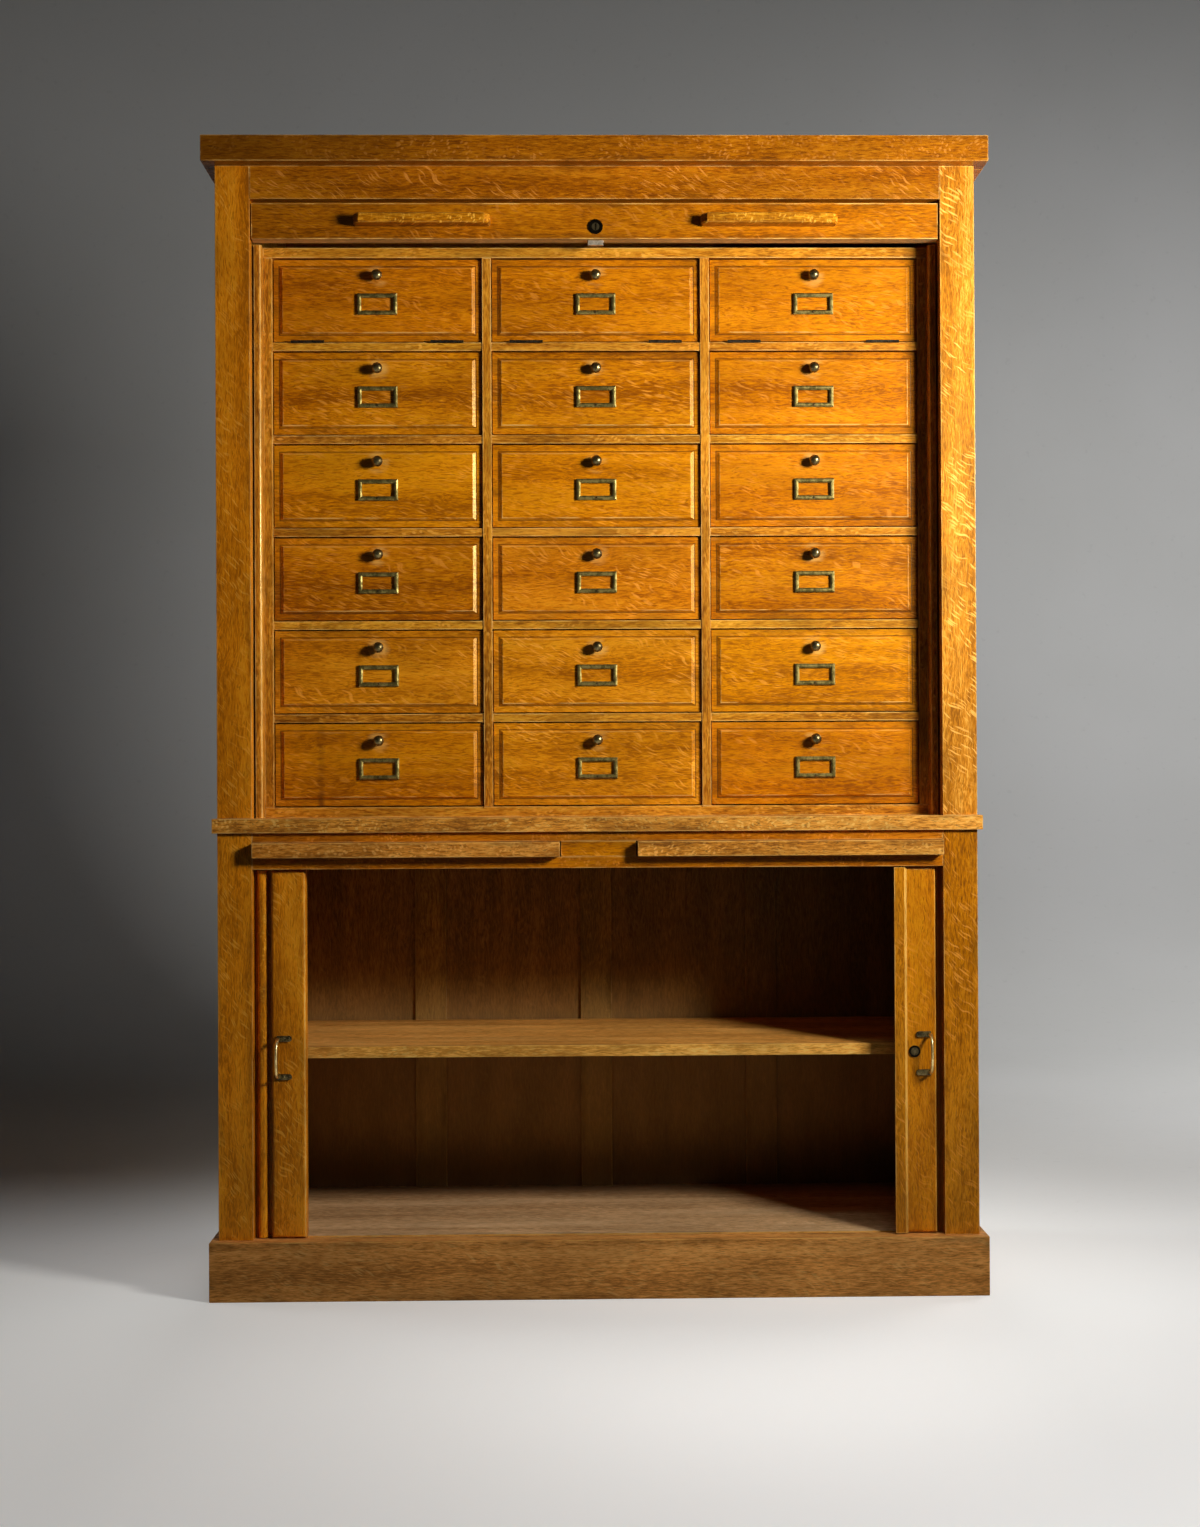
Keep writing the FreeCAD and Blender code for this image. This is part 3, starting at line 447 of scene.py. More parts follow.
STAINED_OAK = oak("oak_flap_stained", DARK, MID, LIGHT,
                  fleck=0.45, tilt=0.30, wear_and_highlight=0.35, marks=flap_marks(79.0 * MM))
NEST_OAK = oak("oak_nest", (0.25, 0.070, 0.003), (0.56, 0.20, 0.010), (0.76, 0.35, 0.03),
               fleck=0.5, wave=0.6, wear_and_highlight=0.8)
WAIST_OAK = oak("oak_waist", (0.32, 0.105, 0.010), (0.76, 0.31, 0.032), (0.92, 0.49, 0.10),
                fleck=0.55, tilt=0.5, wave=0.6, wear_and_highlight=0.8, grime=0.4, rough=0.48, spots=0.6)
WORN_OAK = oak("oak_worn", (0.22, 0.064, 0.006), (0.58, 0.205, 0.018), (0.82, 0.39, 0.07),
               fleck=0.6, tilt=0.5, wave=0.6, wear_and_highlight=0.8, grime=0.4, rough=0.48, spots=0.65)
BASE_OAK = oak("oak_base", (0.36, 0.130, 0.027), (0.74, 0.29, 0.064), (0.93, 0.43, 0.12),
               fleck=0.35, wave=0.35, wear_and_highlight=0.5, grime=0.5, rough=0.5, marks=shaded_left_end(0.22, 1.2))
INNER_OAK = oak("oak_inner", (0.09, 0.034, 0.003), (0.22, 0.094, 0.012), (0.36, 0.165, 0.026),
                fleck=0.2, wear_and_highlight=0.2, rough=0.55, marks=paled_and_shaded_foot)
DUSTY_OAK = oak("oak_dusty", (0.42, 0.225, 0.09), (0.68, 0.41, 0.19), (0.80, 0.53, 0.28),
                fleck=0.3, wave=0.5, wear_and_highlight=0.7, grime=0.5, rough=0.58, marks=shaded_back)
SHELF_OAK = oak("oak_shelf", (0.44, 0.165, 0.028), (0.72, 0.300, 0.060), (0.86, 0.43, 0.12),
                fleck=0.3, wave=0.5, wear_and_highlight=0.9, grime=0.3, rough=0.55)
# painted light: a paler copy of the shelf oak for the shelf's front edge, lit more than its top
LIT_EDGE_OAK = oak("oak_edge", (0.62, 0.24, 0.035), (0.96, 0.46, 0.09), (1.0, 0.60, 0.17),
               fleck=0.3, wave=0.5, wear_and_highlight=0.5, grime=0.3, rough=0.45)
SLAT_OAK = oak("oak_slats", DARK, (0.48, 0.155, 0.006), LIGHT,
               fleck=0.45, wave=0.4, wear_and_highlight=0.3, grime=0.15)
BRASS = metal("aged_brass", (0.28, 0.215, 0.088), (0.085, 0.063, 0.026), 0.32)
FRAME_BRASS = metal("frame_brass", (0.30, 0.235, 0.072), (0.12, 0.093, 0.026), 0.55)
PULL_BRASS = metal("pull_brass", (0.94, 0.76, 0.34), (0.60, 0.45, 0.17), 0.34)
FOOT_BRASS = metal("foot_brass", (0.20, 0.15, 0.06), (0.05, 0.038, 0.018), 0.40)
# the lock disc is dark outside its plug: painted shade of its recess
LOCK_METAL = metal("lock_bronze", (0.17, 0.130, 0.062), (0.075, 0.056, 0.026), 0.45,
                   shade_from=6.3 * MM)
BOLT_STEEL = metal("bolt_steel", (0.60, 0.53, 0.42), (0.34, 0.295, 0.22), 0.55)
HINGE_IRON = metal("hinge_iron", (0.07, 0.055, 0.035), (0.025, 0.02, 0.014), 0.50)


# Boards

SHORT_ARRIS = 12.0 * MM  # shorter ones stay sharp
ARRIS_ANGLE = math.radians(25.0)
SLIVER = 0.01 * MM
TALL_BOARD = 0.3
NARROW_BOARD = 20.0 * MM
FACING = (0.5, 0.87)  # how far a face given the lit and worn kind faces forward
UNDERSIDE = -0.9
SMOOTH_ANGLE = 31.0


def cad_solids(node):
    """The closed solids of a CAD node in order, each as its points and triangles."""
    mesh = frame["nodes"][node].data
    solids = []
    index, points, faces, loose = {}, [], [], set()
    for polygon in mesh.polygons:
        keys = [tuple(round(c, 6) for c in mesh.vertices[i].co) for i in polygon.vertices]
        for a, b in zip(keys, keys[1:] + keys[:1]):
            if a != b:
                loose ^= {frozenset((a, b))}
        for key in keys:
            if key not in index:
                index[key] = len(points)
                points.append(key)
        if len(set(keys)) == len(keys):
            faces.append([index[key] for key in keys])
        if not loose:
            solids.append((points, faces))
            index, points, faces = {}, [], []
    return solids


def soften(points, faces, bevel):
    """One solid with its flat faces joined and its longer arrises rounded."""
    bm = bmesh.new()
    verts = [bm.verts.new(point) for point in points]
    for face in faces:
        bm.faces.new([verts[i] for i in face])
    bm.normal_update()
    bmesh.ops.dissolve_limit(bm, angle_limit=math.radians(0.5), verts=bm.verts, edges=bm.edges)
    bm.normal_update()
    if bevel:
        sharp = []
        for edge in bm.edges:
            if len(edge.link_faces) == 2 and edge.calc_length() > SHORT_ARRIS:
                if edge.calc_face_angle() > ARRIS_ANGLE:
                    sharp.append(edge)
        bmesh.ops.bevel(bm, geom=sharp, offset=bevel, offset_type="OFFSET", segments=2,
                        profile=0.5, affect="EDGES", clamp_overlap=True)
        bmesh.ops.dissolve_degenerate(bm, dist=SLIVER, edges=bm.edges)
    return bm


class Piece:
    """Collects solids into one mesh, with grain coordinates for each board."""

    def __init__(self, name):
        self.name = name
        self.points = []
        self.faces = []
        self.slots = []
        self.grain = []
        self.low = []
        self.high = []
        self.board = []
        self.random = random.Random(name)

    def add(self, bm, slot=0, upright=False, lit_and_worn=None, span=FACING, under=None):
        """One solid as a board: its grain runs along its longest side, or up if upright."""
        lo = [min(v.co[i] for v in bm.verts) for i in range(3)]
        hi = [max(v.co[i] for v in bm.verts) for i in range(3)]
        size = [b - a for a, b in zip(lo, hi)]
        order = sorted(range(3), key=lambda i: -size[i])
        if upright and size[2] > TALL_BOARD:
            order = [2] + [i for i in order if i != 2]
        shift = [self.random.uniform(0.0, 40.0) for _ in range(3)]
        tone = self.random.random()
        base = len(self.points)
        bm.verts.index_update()
        for v in bm.verts:
            along = [v.co[i] - lo[i] for i in order]
            self.points.append(tuple(v.co))
            self.grain.append([a + b for a, b in zip(along, shift)])
            self.low.append(along)
            self.high.append([size[i] - a for i, a in zip(order, along)])
            self.board.append(tone)
        bm.normal_update()
        edged = lit_and_worn is not None and size[order[1]] > NARROW_BOARD
        for face in bm.faces:
            self.faces.append([base + v.index for v in face.verts])
            # faces that face forward take the kind given painted light, and on some boards wear
            kind = lit_and_worn if edged and span[0] < -face.normal.y < span[1] else slot
            # undersides take the kind given painted light
            painted_light_below = under is not None and face.normal.z < UNDERSIDE
            self.slots.append(under if painted_light_below else kind)
        bm.free()

    def build(self, *materials, crease=SMOOTH_ANGLE, weighted=True):
        mesh = bpy.data.meshes.new(self.name)
        mesh.from_pydata(self.points, [], self.faces)
        for material in materials:
            mesh.materials.append(material)
        mesh.polygons.foreach_set("material_index", self.slots)
        mesh.polygons.foreach_set("use_smooth", [True] * len(self.faces))
        for name, rows in (("grain", self.grain), ("low", self.low), ("high", self.high)):
            layer = mesh.attributes.new(name, "FLOAT_VECTOR", "POINT")
            layer.data.foreach_set("vector", [c for row in rows for c in row])
        layer = mesh.attributes.new("board", "FLOAT", "POINT")
        layer.data.foreach_set("value", self.board)
        mesh.set_sharp_from_angle(angle=math.radians(crease))
        obj = bpy.data.objects.new(self.name, mesh)
        bpy.context.scene.collection.objects.link(obj)
        if weighted:
            normals = obj.modifiers.new("flat faces", "WEIGHTED_NORMAL")
            normals.keep_sharp = True
        return obj


def stand_in(obj, node):
    """The piece rides where the CAD node rides and stands for it."""
    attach(obj, frame["nodes"][node]["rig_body"])
    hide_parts(node)


def middle(points):
    """Centre of the box round some points."""
    lo = [min(p[i] for p in points) for i in range(3)]
    hi = [max(p[i] for p in points) for i in range(3)]
    return Vector([(a + b) / 2.0 for a, b in zip(lo, hi)])


def dress(node, materials, bevel, upright=False, pick=None, lit_and_worn=None, span=FACING,
          under=None, crease=SMOOTH_ANGLE):
    """A CAD node as finished boards, with arrises rounded by bevel in millimetres.

    pick gives a board's place in the materials from its centre, lit_and_worn that of its faces that
    face forward by span, which carry painted light and on some boards wear, and under that of the
    undersides of the first kind of board, which carry painted light.
    """
    piece = Piece(node + "_fine")
    for points, faces in cad_solids(node):
        kind = pick(middle(points)) if pick else 0
        painted_light_below = None if kind else under
        piece.add(soften(points, faces, bevel * MM), kind, upright, lit_and_worn, span, painted_light_below)
    stand_in(piece.build(*materials, crease=crease), node)


# Shapes of the fittings

CORNERS = ((-1, -1), (1, -1), (1, 1), (-1, 1))


def bridge(bm, lower, upper):
    """Faces between two rings of points; a ring that is one point gives triangles."""
    for k in range(len(lower)):
        n = (k + 1) % len(lower)
        corners = [lower[k], lower[n], upper[n], upper[k]]
        bm.faces.new(list(dict.fromkeys(corners)))


def outward(bm):
    """The closed shape with its faces turned outwards."""
    bmesh.ops.recalc_face_normals(bm, faces=bm.faces)
    return bm


def lathe(profile, x, y, z, steps=28):
    """Turned shape facing the front: radius and height above the face at y, from rim to tip."""
    bm = bmesh.new()
    rings = []
    for radius, height in profile:
        if radius < 1e-6:
            rings.append([bm.verts.new((x, y - height, z))] * steps)
            continue
        ring = []
        for k in range(steps):
            a = 2.0 * math.pi * k / steps
            place = (x + radius * math.cos(a), y - height, z + radius * math.sin(a))
            ring.append(bm.verts.new(place))
        rings.append(ring)
    for lower, upper in zip(rings, rings[1:]):
        bridge(bm, lower, upper)
    bm.faces.new(rings[0][::-1])
    return outward(bm)


def rim(profile, x, y, z, half_w, half_h):
    """Mitred frame: insets from its outline and heights above the face at y, outside to inside."""
    bm = bmesh.new()
    rings = []
    for inset, height in profile:
        w, h = half_w - inset, half_h - inset
        rings.append([bm.verts.new((x + a * w, y - height, z + b * h)) for a, b in CORNERS])
    for outer, inner in zip(rings, rings[1:] + rings[:1]):
        bridge(bm, outer, inner)
    return outward(bm)


def tube(path, sizes, steps=14):
    """Oval bar along a path in an upright plane; sizes are its half widths across and in it."""
    bm = bmesh.new()
    across = Vector((1.0, 0.0, 0.0))
    rings = []
    for i, point in enumerate(path):
        ahead = (path[min(i + 1, len(path) - 1)] - path[max(i - 1, 0)]).normalized()
        out = across.cross(ahead)
        wide, deep = sizes[i]
        ring = []
        for k in range(steps):
            a = 2.0 * math.pi * k / steps
            place = point + across * wide * math.cos(a) + out * deep * math.sin(a)
            ring.append(bm.verts.new(place))
        rings.append(ring)
    for lower, upper in zip(rings, rings[1:]):
        bridge(bm, lower, upper)
    bm.faces.new(rings[0])
    bm.faces.new(rings[-1])
    return outward(bm)


def slab(outline, y0, y1, bevel):
    """Flat plate from an outline in x and z, with a rounded front edge."""
    bm = bmesh.new()
    front = [bm.verts.new((x, y0, z)) for x, z in outline]
    back = [bm.verts.new((x, y1, z)) for x, z in outline]
    bm.faces.new(front)
    bm.faces.new(back)
    bridge(bm, front, back)
    outward(bm)
    edges = [e for e in bm.edges if e.verts[0] in front and e.verts[1] in front]
    bmesh.ops.bevel(bm, geom=edges, offset=bevel, offset_type="OFFSET", segments=2,
                    profile=0.5, affect="EDGES")
    return bm


def smooth_path(points, count):
    """Points on a rounded line through the given ones."""
    line = []
    last = len(points) - 1
    for i in range(last):
        p0, p1, p2, p3 = (Vector(points[max(0, min(last, k))]) for k in (i - 1, i, i + 1, i + 2))
        square = 2.0 * p0 - 5.0 * p1 + 4.0 * p2 - p3
        cube = 3.0 * p1 - p0 - 3.0 * p2 + p3
        for k in range(count):
            t = k / count
            line.append(0.5 * (2.0 * p1 + (p2 - p0) * t + square * t * t + cube * t * t * t))
    line.append(Vector(points[-1]))
    return line


# Case, nest and flaps

WAIST_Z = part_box("waist_board")[0].z
SHELF_HEIGHTS = (0.30, 0.60)  # the shelf is between, the floor is below
LIP_X = 0.53  # the right door's proud lip is left of this
BLOCK_HALF_X = 0.1
BLOCK_Z = 0.785


def upper_or_lower(centre):
    return 1 if centre.z > WAIST_Z else 0


def stile_kind(centre):
    if centre.x < 0.0:
        return 1 if centre.z > WAIST_Z else 3
    return 2 if centre.z > WAIST_Z else 0


def rail_kind(centre):
    if centre.z > WAIST_Z:
        return 1
    return 2 if abs(centre.x) < BLOCK_HALF_X and centre.z < BLOCK_Z else 0


def front_or_back(centre):
    return 1 if centre.y < FRONT else 0


def shelf_or_floor(centre):
    return 1 if SHELF_HEIGHTS[0] < centre.z < SHELF_HEIGHTS[1] else 0


def lip_or_stile(centre):
    return 1 if centre.x < LIP_X else 0


dress("cornice", (TOP_SHADED_OAK, CORNICE_SHADED_OAK), 1.6, pick=front_or_back)
dress("side_panels", (LOWER_SIDE_OAK, SIDE_OAK), 0.8, pick=upper_or_lower)
dress("face_stiles", (LOWER_OAK, LEFT_LIT_OAK, STILE_OAK, LEFT_LOWER_LIT_OAK), 1.1,
      pick=stile_kind)
dress("face_rails", (LOWER_OAK, TOP_SHADED_OAK, CASE_OAK), 0.8, pick=rail_kind)
dress("waist_board", (WAIST_OAK,), 2.2)
dress("plinth", (BASE_OAK,), 1.6)
dress("nest_dividers", (NEST_OAK,), 0.8)
dress("nest_shelves", (NEST_OAK,), 0.8)
dress("tambour_tracks", (NEST_OAK, BEAD_HIGHLIGHT_OAK), 1.2, lit_and_worn=1)
dress("back_panels", (INNER_OAK,), 0.8, upright=True)
dress("lower_shelves", (DUSTY_OAK, SHELF_OAK, LIT_EDGE_OAK), 1.0, pick=shelf_or_floor,
      lit_and_worn=2, span=(0.5, 1.01))
dress("inner_linings", (INNER_OAK,), 0.6)
dress("stored_slats", (SLAT_OAK,), 0.0)
dress("lift_rail", (RAIL_OAK, HANDLE_OAK, LIT_UNDERSIDE_OAK), 0.8, pick=front_or_back, under=2)
dress("left_leading_stile", (LEFT_LOWER_LIT_OAK, RUBBED_HIGHLIT_OAK), 0.6, lit_and_worn=1)
dress("right_leading_stile", (DOOR_OAK, LOWER_OAK, RUBBED_HIGHLIT_OAK), 0.6,
      pick=lip_or_stile, lit_and_worn=2)
dress("left_writing_slide", (WORN_OAK,), 1.5)
dress("right_writing_slide", (WORN_OAK,), 1.5)
flaps = sorted(name for name in frame["nodes"] if name.startswith("flap_r"))
pale = ("flap_r4c2", "flap_r5c1", "flap_r5c2", "flap_r6c2")
brown = ("flap_r2c1", "flap_r2c2", "flap_r4c1", "flap_r4c3")
FLAP_KINDS = {"flap_r6c1": STAINED_OAK}
FLAP_KINDS.update(dict.fromkeys(pale, PALE_FLAP_OAK))
FLAP_KINDS.update(dict.fromkeys(brown, BROWN_FLAP_OAK))
FLAT_BEVELS = 8.0  # degrees, so that the bevels round a flap's field stay flat
for node in flaps:
    dress(node, (FLAP_KINDS.get(node, FLAP_OAK),), 0.6, crease=FLAT_BEVELS)


# Fittings, with profiles in millimetres

KNOB = ((6.5, 0.0), (6.8, 0.7), (6.4, 1.6), (4.7, 2.2), (4.0, 3.2), (4.3, 4.4), (6.4, 5.6),
        (8.3, 7.6), (9.3, 10.0), (9.5, 12.0), (9.0, 14.6), (7.6, 17.0), (5.4, 18.8),
        (2.8, 19.7), (0.0, 20.0))
CARD_RIM = ((0.0, 0.0), (0.0, 3.5), (2.4, 5.0), (4.8, 5.0), (7.2, 3.5), (7.2, 0.0))
STUD = ((2.1, 0.0), (2.1, 0.7), (1.5, 1.4), (0.0, 1.6))
CARD_DROP = 79.0 * MM  # from the top of a flap
CARD_HALF = (35.0 * MM, 18.5 * MM)
CARD_T = 5.0 * MM
STUD_DROP = 15.0 * MM  # from the middle of the card frame


def in_metres(profile):
    return [(a * MM, b * MM) for a, b in profile]


for node in flaps:
    fittings = node.replace("flap_", "fittings_")
    lo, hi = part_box(node)
    x = (lo.x + hi.x) / 2.0
    piece = Piece(fittings + "_fine")
    piece.add(lathe(in_metres(KNOB), x, lo.y, hi.z - KNOB_DROP))
    card_z = hi.z - CARD_DROP
    piece.add(rim(in_metres(CARD_RIM), x, lo.y, card_z, *CARD_HALF), 1)
    piece.add(lathe(in_metres(STUD), x, lo.y - CARD_T, card_z - STUD_DROP, steps=14))
    for points, faces in cad_solids(fittings):
        if middle(points).y > lo.y:
            piece.add(soften(points, faces, 0.0), 2)
    stand_in(piece.build(BRASS, FRAME_BRASS, HINGE_IRON), fittings)
dress("flap_hinges", (HINGE_IRON,), 0.0)
dress("shutter_lock_plug", (LOCK_METAL,), 0.0)
dress("shutter_lock_bolt", (BOLT_STEEL,), 0.6)

# Heights as shares of half the pull, and how far the bar stands off its feet
PULL_BOW = ((-1.0, -1.0), (-0.99, 6.0), (-0.9, 14.0), (-0.69, 20.0), (-0.34, 23.2), (0.0, 24.2),
            (0.34, 23.2), (0.69, 20.0), (0.9, 14.0), (0.99, 6.0), (1.0, -1.0))
PULL_SCREW = ((2.9, 0.0), (2.9, 0.5), (2.3, 1.0), (0.0, 1.2))
SCREW_OFFSETS = (9.0, 18.0)
BAR_WIDE, BAR_FLARE = 2.4 * MM, 0.9 * MM
BAR_DEEP, BAR_TAPER = 2.8 * MM, 0.5 * MM
BAR_INSET = 2.5 * MM
BAR_FOOT = 3.0 * MM
FOOT_HALF = 5.0 * MM
FOOT_END = 18.5 * MM
FOOT_T = 3.5 * MM
FOOT_ROUND = 0.9 * MM
FOOT_STEPS = 8
SCREW_SEAT = 3.4 * MM


def strap_pull(node, inward):
    """Bowed bar on two screwed feet; inward is the direction of the feet along x."""
    lo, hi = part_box(node)
    bar_x = (lo.x if inward > 0 else hi.x) + inward * BAR_INSET
    stile = hi.y
    centre = (lo.z + hi.z) / 2.0
    piece = Piece(node + "_fine")
    half = (hi.z - lo.z) / 2.0 - FOOT_HALF
    path = []
    for height, reach in PULL_BOW:
        path.append((bar_x, stile - BAR_FOOT - reach * MM, centre + height * half))
    line = smooth_path(path, count=5)
    sizes = []
    for point in line:
        end = min(1.0, abs(point.z - centre) / half)
        sizes.append((BAR_WIDE + BAR_FLARE * end ** 6, BAR_DEEP - BAR_TAPER * end ** 4))
    piece.add(tube(line, sizes))
    for side in (-1, 1):
        z = centre + side * half
        outline = [(bar_x - inward * BAR_INSET, z - FOOT_HALF)]
        for k in range(FOOT_STEPS + 1):
            a = math.radians(-90.0 + 180.0 * k / FOOT_STEPS)
            end_x = bar_x + inward * (FOOT_END + FOOT_HALF * math.cos(a))
            outline.append((end_x, z + FOOT_HALF * math.sin(a)))
        outline.append((bar_x - inward * BAR_INSET, z + FOOT_HALF))
        piece.add(slab(outline, stile - FOOT_T, stile, FOOT_ROUND), 1)
        for offset in SCREW_OFFSETS:
            screw_x = bar_x + inward * offset * MM
            piece.add(lathe(in_metres(PULL_SCREW), screw_x, stile - SCREW_SEAT, z, steps=16), 1)
    for points, faces in cad_solids(node):
        if max(p[2] for p in points) - min(p[2] for p in points) < half:
            piece.add(soften(points, faces, 0.0), 2)
    stand_in(piece.build(PULL_BRASS, FOOT_BRASS, LOCK_METAL), node)


strap_pull("left_pull", 1)
strap_pull("right_pull", -1)


# Tambours: the slats from the case to each leading edge, gathered at rest and drawn out closed

SHUTTER_PITCH = 20.0 * MM
DOOR_PITCH = 17.0 * MM
SHUTTER_STORE = 46.0 * MM  # room in which the slats gather
LEFT_STORE = 42.0 * MM
RIGHT_STORE = 48.0 * MM
HALVINGS = 40
SLAT_T = 8.5 * MM
SLAT_GAP = 0.6 * MM
SLAT_BACK = FRONT + 30.0 * MM
SLAT_FACE = ((0.0, 0.55), (0.06, 0.72), (0.2, 0.88), (0.5, 1.0), (0.8, 0.88), (0.94, 0.72),
             (1.0, 0.55))


def slat(axis, a0, a1, cross, c0, c1):
    """One slat between a0 and a1 of its travel axis, from c0 to c1 along its length."""
    face = [(a0 + share * (a1 - a0), out * SLAT_T) for share, out in SLAT_FACE]
    section = [(a0, 0.0)] + face + [(a1, 0.0)]
    bm = bmesh.new()
    ends = []
    for c in (c0, c1):
        ring = []
        for a, out in section:
            point = [0.0, SLAT_BACK - out, 0.0]
            point[axis] = a
            point[cross] = c
            ring.append(bm.verts.new(point))
        ends.append(ring)
    bridge(bm, ends[0], ends[1])
    bm.faces.new(ends[0])
    bm.faces.new(ends[1])
    return outward(bm)


def curtain(name, joint, axis, start, end, pitch, cross, c0, c1):
    """Slats from start, fixed in the case, to end, at the leading piece."""
    rule = JOINTS[joint]
    travel = rule["axis"][axis] * rule["range_m"][0]
    edge = end + travel
    sign = 1.0 if start > edge else -1.0
    piece = Piece(name)
    for i in range(int(abs(start - edge) / pitch)):
        a0 = edge + sign * (i * pitch + SLAT_GAP / 2.0)
        a1 = edge + sign * ((i + 1) * pitch - SLAT_GAP / 2.0)
        piece.add(slat(axis, min(a0, a1), max(a0, a1), cross, c0, c1))
    obj = piece.build(SLAT_OAK, weighted=False)

    def gathered(drawn):
        """Where a point of the closed curtain lies at rest; the blend's weight is 3tt - 2ttt."""
        t0, t1 = 0.0, 1.0
        for _ in range(HALVINGS):
            t = (t0 + t1) / 2.0
            at = start + (end - start) * t + travel * t * t * (3.0 - 2.0 * t)
            if (at - drawn) * sign > 0:
                t0 = t
            else:
                t1 = t
        return start + (end - start) * t0

    for vertex in obj.data.vertices:
        vertex.co[axis] = gathered(vertex.co[axis])
    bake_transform(obj)
    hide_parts("drawn_slats")


rail_lo, rail_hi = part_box("lift_rail")
left_lo, left_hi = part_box("left_leading_stile")
right_lo, right_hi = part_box("right_leading_stile")
curtain("shutter_curtain", "shutter_lift", 2,
        rail_hi.z + SHUTTER_STORE, rail_hi.z, SHUTTER_PITCH, 0, rail_lo.x, rail_hi.x)
curtain("left_curtain", "left_door_run", 0,
        left_lo.x - LEFT_STORE, left_lo.x, DOOR_PITCH, 2, left_lo.z, left_hi.z)
curtain("right_curtain", "right_door_run", 0,
        right_hi.x + RIGHT_STORE, right_hi.x, DOOR_PITCH, 2, right_lo.z, right_hi.z)


# Stage, light and camera

ROOM_COLOUR = (0.94, 0.97, 1.0, 1.0)
ROOM_LIGHT = 0.0125
ROOM_SEEN = 0.08
UNSEEN_FLOOR = (0.05, 0.05, 0.05)
SENSOR_MM = 36.0
LENS_MM = 43.22
CAMERA_PLACE = (-0.0484, -3.3822, 0.9077)
CAMERA_TURN = (-0.932, 0.229, -0.279)  # yaw, pitch and roll in degrees


def stage_material():
    """Pale grey floor and backdrop that throw little light back on the cabinet."""
    s = Shader("studio_grey")
    place = s.place()
    cloud = s.noise(place, CLOUDS, 3.0)
    grit = s.noise(place, GRIT, 4.0)
    colour = s.mix(s.fade(cloud, 0.3, 0.7), (0.78, 0.78, 0.76), (0.84, 0.84, 0.83))
    colour = s.mix(s.fade(grit, 0.62, 0.75, 0.0, 0.12), colour, (0.45, 0.45, 0.45))
    path = s.tree.nodes.new("ShaderNodeLightPath").outputs
    seen = s.number("MAXIMUM", path["Is Camera Ray"], path["Is Glossy Ray"])
    seen = s.number("MAXIMUM", seen, path["Is Transmission Ray"])
    colour = s.mix(seen, UNSEEN_FLOOR, colour)
    s.put(s.surface.inputs["Base Color"], colour)
    s.put(s.surface.inputs["Roughness"], s.fade(grit, 0.3, 0.7, 0.62, 0.72))
    x, y = s.axes(place)[:2]
    # painted light: the floor glows for the camera, brighter to the right and fading towards the
    # backdrop, like the pool of the key light
    painted_light_glow = s.times(s.fade(x, -0.5, 0.9, 0.22, 0.38), s.fade(y, -0.4, 0.9, 1.0, 0.0))
    s.put(s.surface.inputs["Emission Color"], (1.0, 1.0, 0.98, 1.0))
    s.put(s.surface.inputs["Emission Strength"], s.times(seen, painted_light_glow))
    return s.material


def studio():
    """Pale floor that turns up into a backdrop."""
    half, front, turn, radius, top, steps = 10.0, -9.0, 2.3, 2.4, 7.0, 24
    line = [(front, 0.0), (turn, 0.0)]
    for k in range(1, steps + 1):
        a = math.radians(90.0 * k / steps)
        line.append((turn + radius * math.sin(a), radius - radius * math.cos(a)))
    line.append((turn + radius, top))
    points = [(x, y, z) for y, z in line for x in (-half, half)]
    faces = [(2 * k, 2 * k + 1, 2 * k + 3, 2 * k + 2) for k in range(len(line) - 1)]
    mesh = bpy.data.meshes.new("studio")
    mesh.from_pydata(points, [], faces)
    mesh.materials.append(stage_material())
    mesh.polygons.foreach_set("use_smooth", [True] * len(faces))
    obj = bpy.data.objects.new("studio", mesh)
    bpy.context.scene.collection.objects.link(obj)


def lamp(name, place, target, size, spread, watts, colour=(1.0, 1.0, 1.0)):
    """Square soft light at a place, facing a target, with its spread in degrees."""
    data = bpy.data.lights.new(name, "AREA")
    data.shape = "SQUARE"
    data.size = size
    data.spread = math.radians(spread)
    data.energy = watts
    data.color = colour
    obj = bpy.data.objects.new(name, data)
    obj.location = place
    obj.visible_camera = False
    obj.rotation_mode = "QUATERNION"
    obj.rotation_quaternion = (Vector(target) - Vector(place)).to_track_quat("-Z", "Y")
    bpy.context.scene.collection.objects.link(obj)


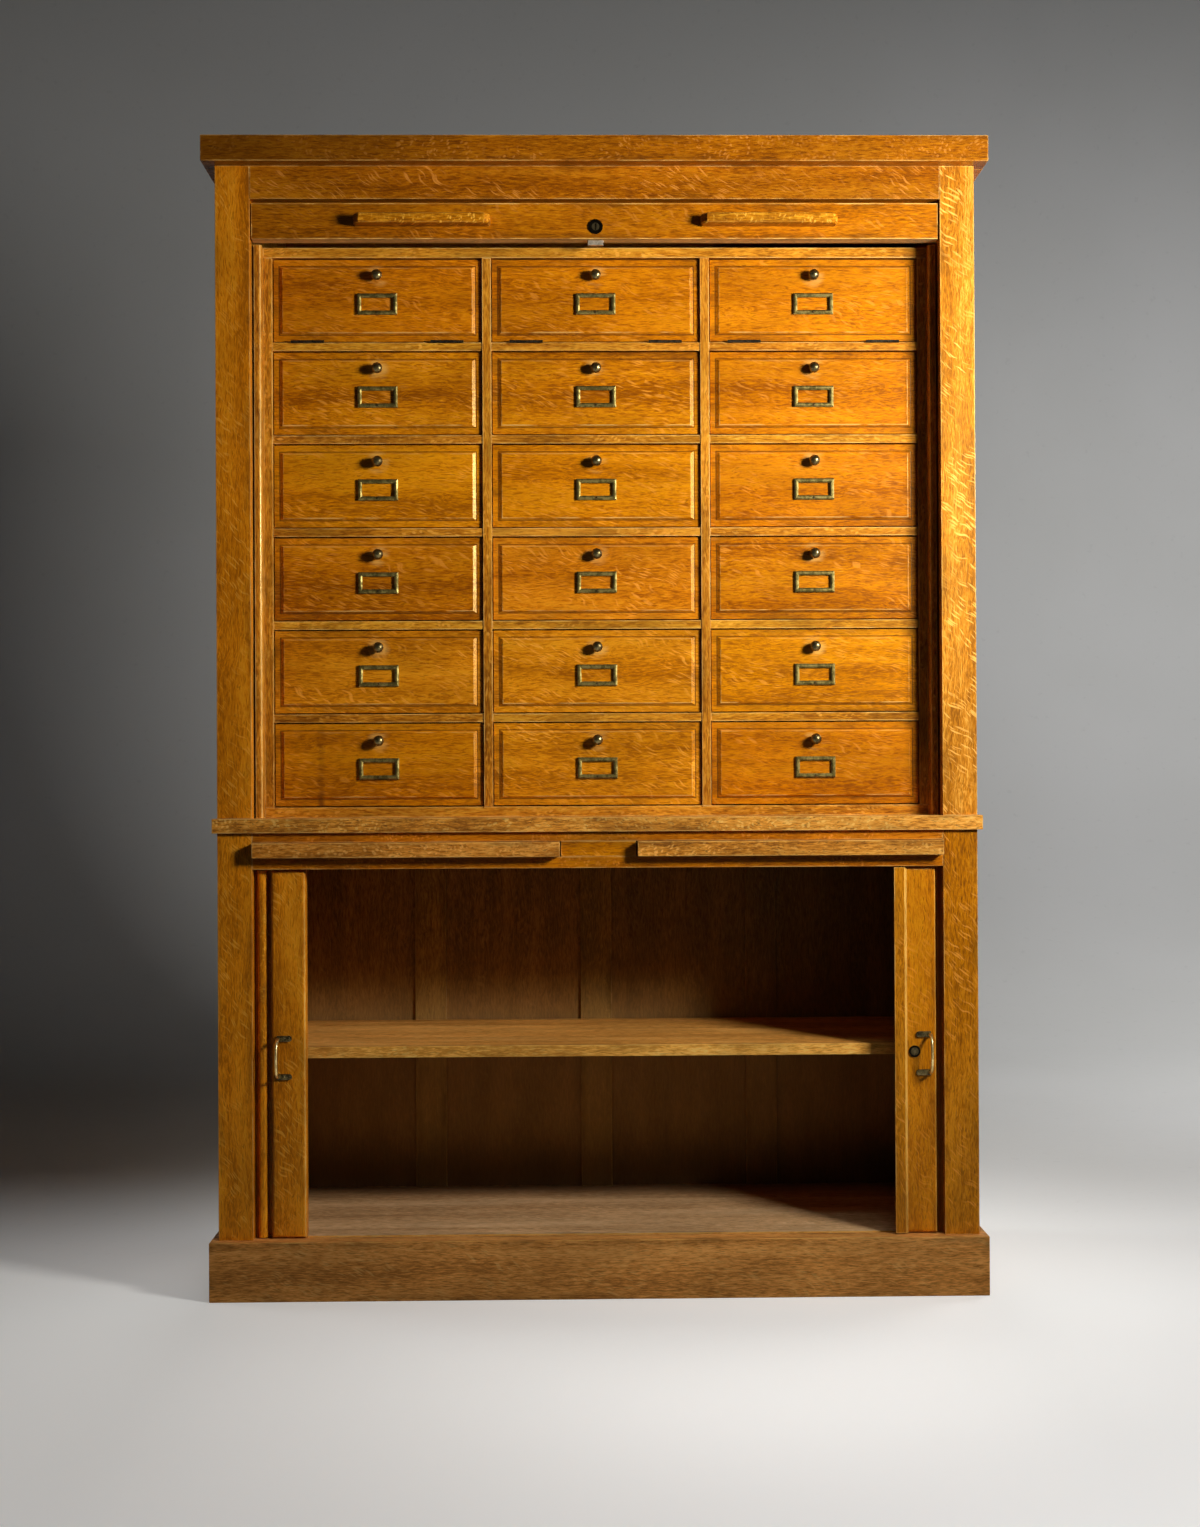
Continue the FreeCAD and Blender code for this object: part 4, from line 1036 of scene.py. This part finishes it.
def air():
    """A grey room that the camera, metal and glass see, and that gives little light."""
    world = bpy.data.worlds.new("studio_air")
    world.use_nodes = True
    nodes, links = world.node_tree.nodes, world.node_tree.links
    path = nodes.new("ShaderNodeLightPath").outputs
    shown = path["Is Camera Ray"]
    for ray in ("Is Glossy Ray", "Is Transmission Ray"):
        either = nodes.new("ShaderNodeMath")
        either.operation = "MAXIMUM"
        links.new(shown, either.inputs[0])
        links.new(path[ray], either.inputs[1])
        shown = either.outputs[0]
    level = nodes.new("ShaderNodeMapRange")
    level.inputs["To Min"].default_value = ROOM_LIGHT
    level.inputs["To Max"].default_value = ROOM_SEEN
    links.new(shown, level.inputs["Value"])
    links.new(level.outputs[0], nodes["Background"].inputs["Strength"])
    nodes["Background"].inputs["Color"].default_value = ROOM_COLOUR
    bpy.context.scene.world = world


def camera():
    """The photograph's camera: lens, place, yaw, pitch and roll."""
    data = bpy.data.cameras.new("photo_camera")
    data.sensor_width = SENSOR_MM
    data.lens = LENS_MM
    yaw, pitch, roll = (math.radians(a) for a in CAMERA_TURN)
    right = Vector((math.cos(yaw), math.sin(yaw), 0.0))
    ahead = Vector((-math.sin(yaw), math.cos(yaw), 0.0))
    up = Vector((0.0, 0.0, 1.0))
    c, s = math.cos(pitch), math.sin(pitch)
    ahead, up = c * ahead + s * up, c * up - s * ahead
    c, s = math.cos(roll), math.sin(roll)
    right, up = c * right + s * up, c * up - s * right
    obj = bpy.data.objects.new("photo_camera", data)
    turn = Matrix((right, up, -ahead)).transposed().to_4x4()
    obj.matrix_world = Matrix.Translation(CAMERA_PLACE) @ turn
    bpy.context.scene.collection.objects.link(obj)
    bpy.context.scene.camera = obj


studio()
lamp("key", (1.6, -1.4, 1.68), (0.35, -0.2, 1.55), 0.45, 110.0, 26.5, (1.0, 0.98, 0.94))
lamp("floor_light", (0.6, -2.2, 4.8), (0.6, -2.2, 0.0), 1.2, 50.0, 12.0)
lamp("rear_light", (2.3, 1.2, 3.5), (2.1, 1.2, 0.0), 1.2, 80.0, 16.0)
lamp("wall_light", (3.2, 0.9, 2.2), (2.4, 4.7, 1.5), 1.5, 125.0, 33.0)
lamp("top_light", (0.1, 0.3, 4.2), (0.1, 0.1, 2.0), 0.8, 25.0, 1.0)
lamp("back_light", (0.0, 2.2, 1.4), (0.0, 0.24, 1.0), 1.2, 60.0, 7.0)
lamp("side_light", (-2.5, 0.6, 1.6), (-0.66, 0.1, 1.0), 1.0, 50.0, 3.2)
air()
bpy.context.scene.view_settings.view_transform = "Standard"
camera()
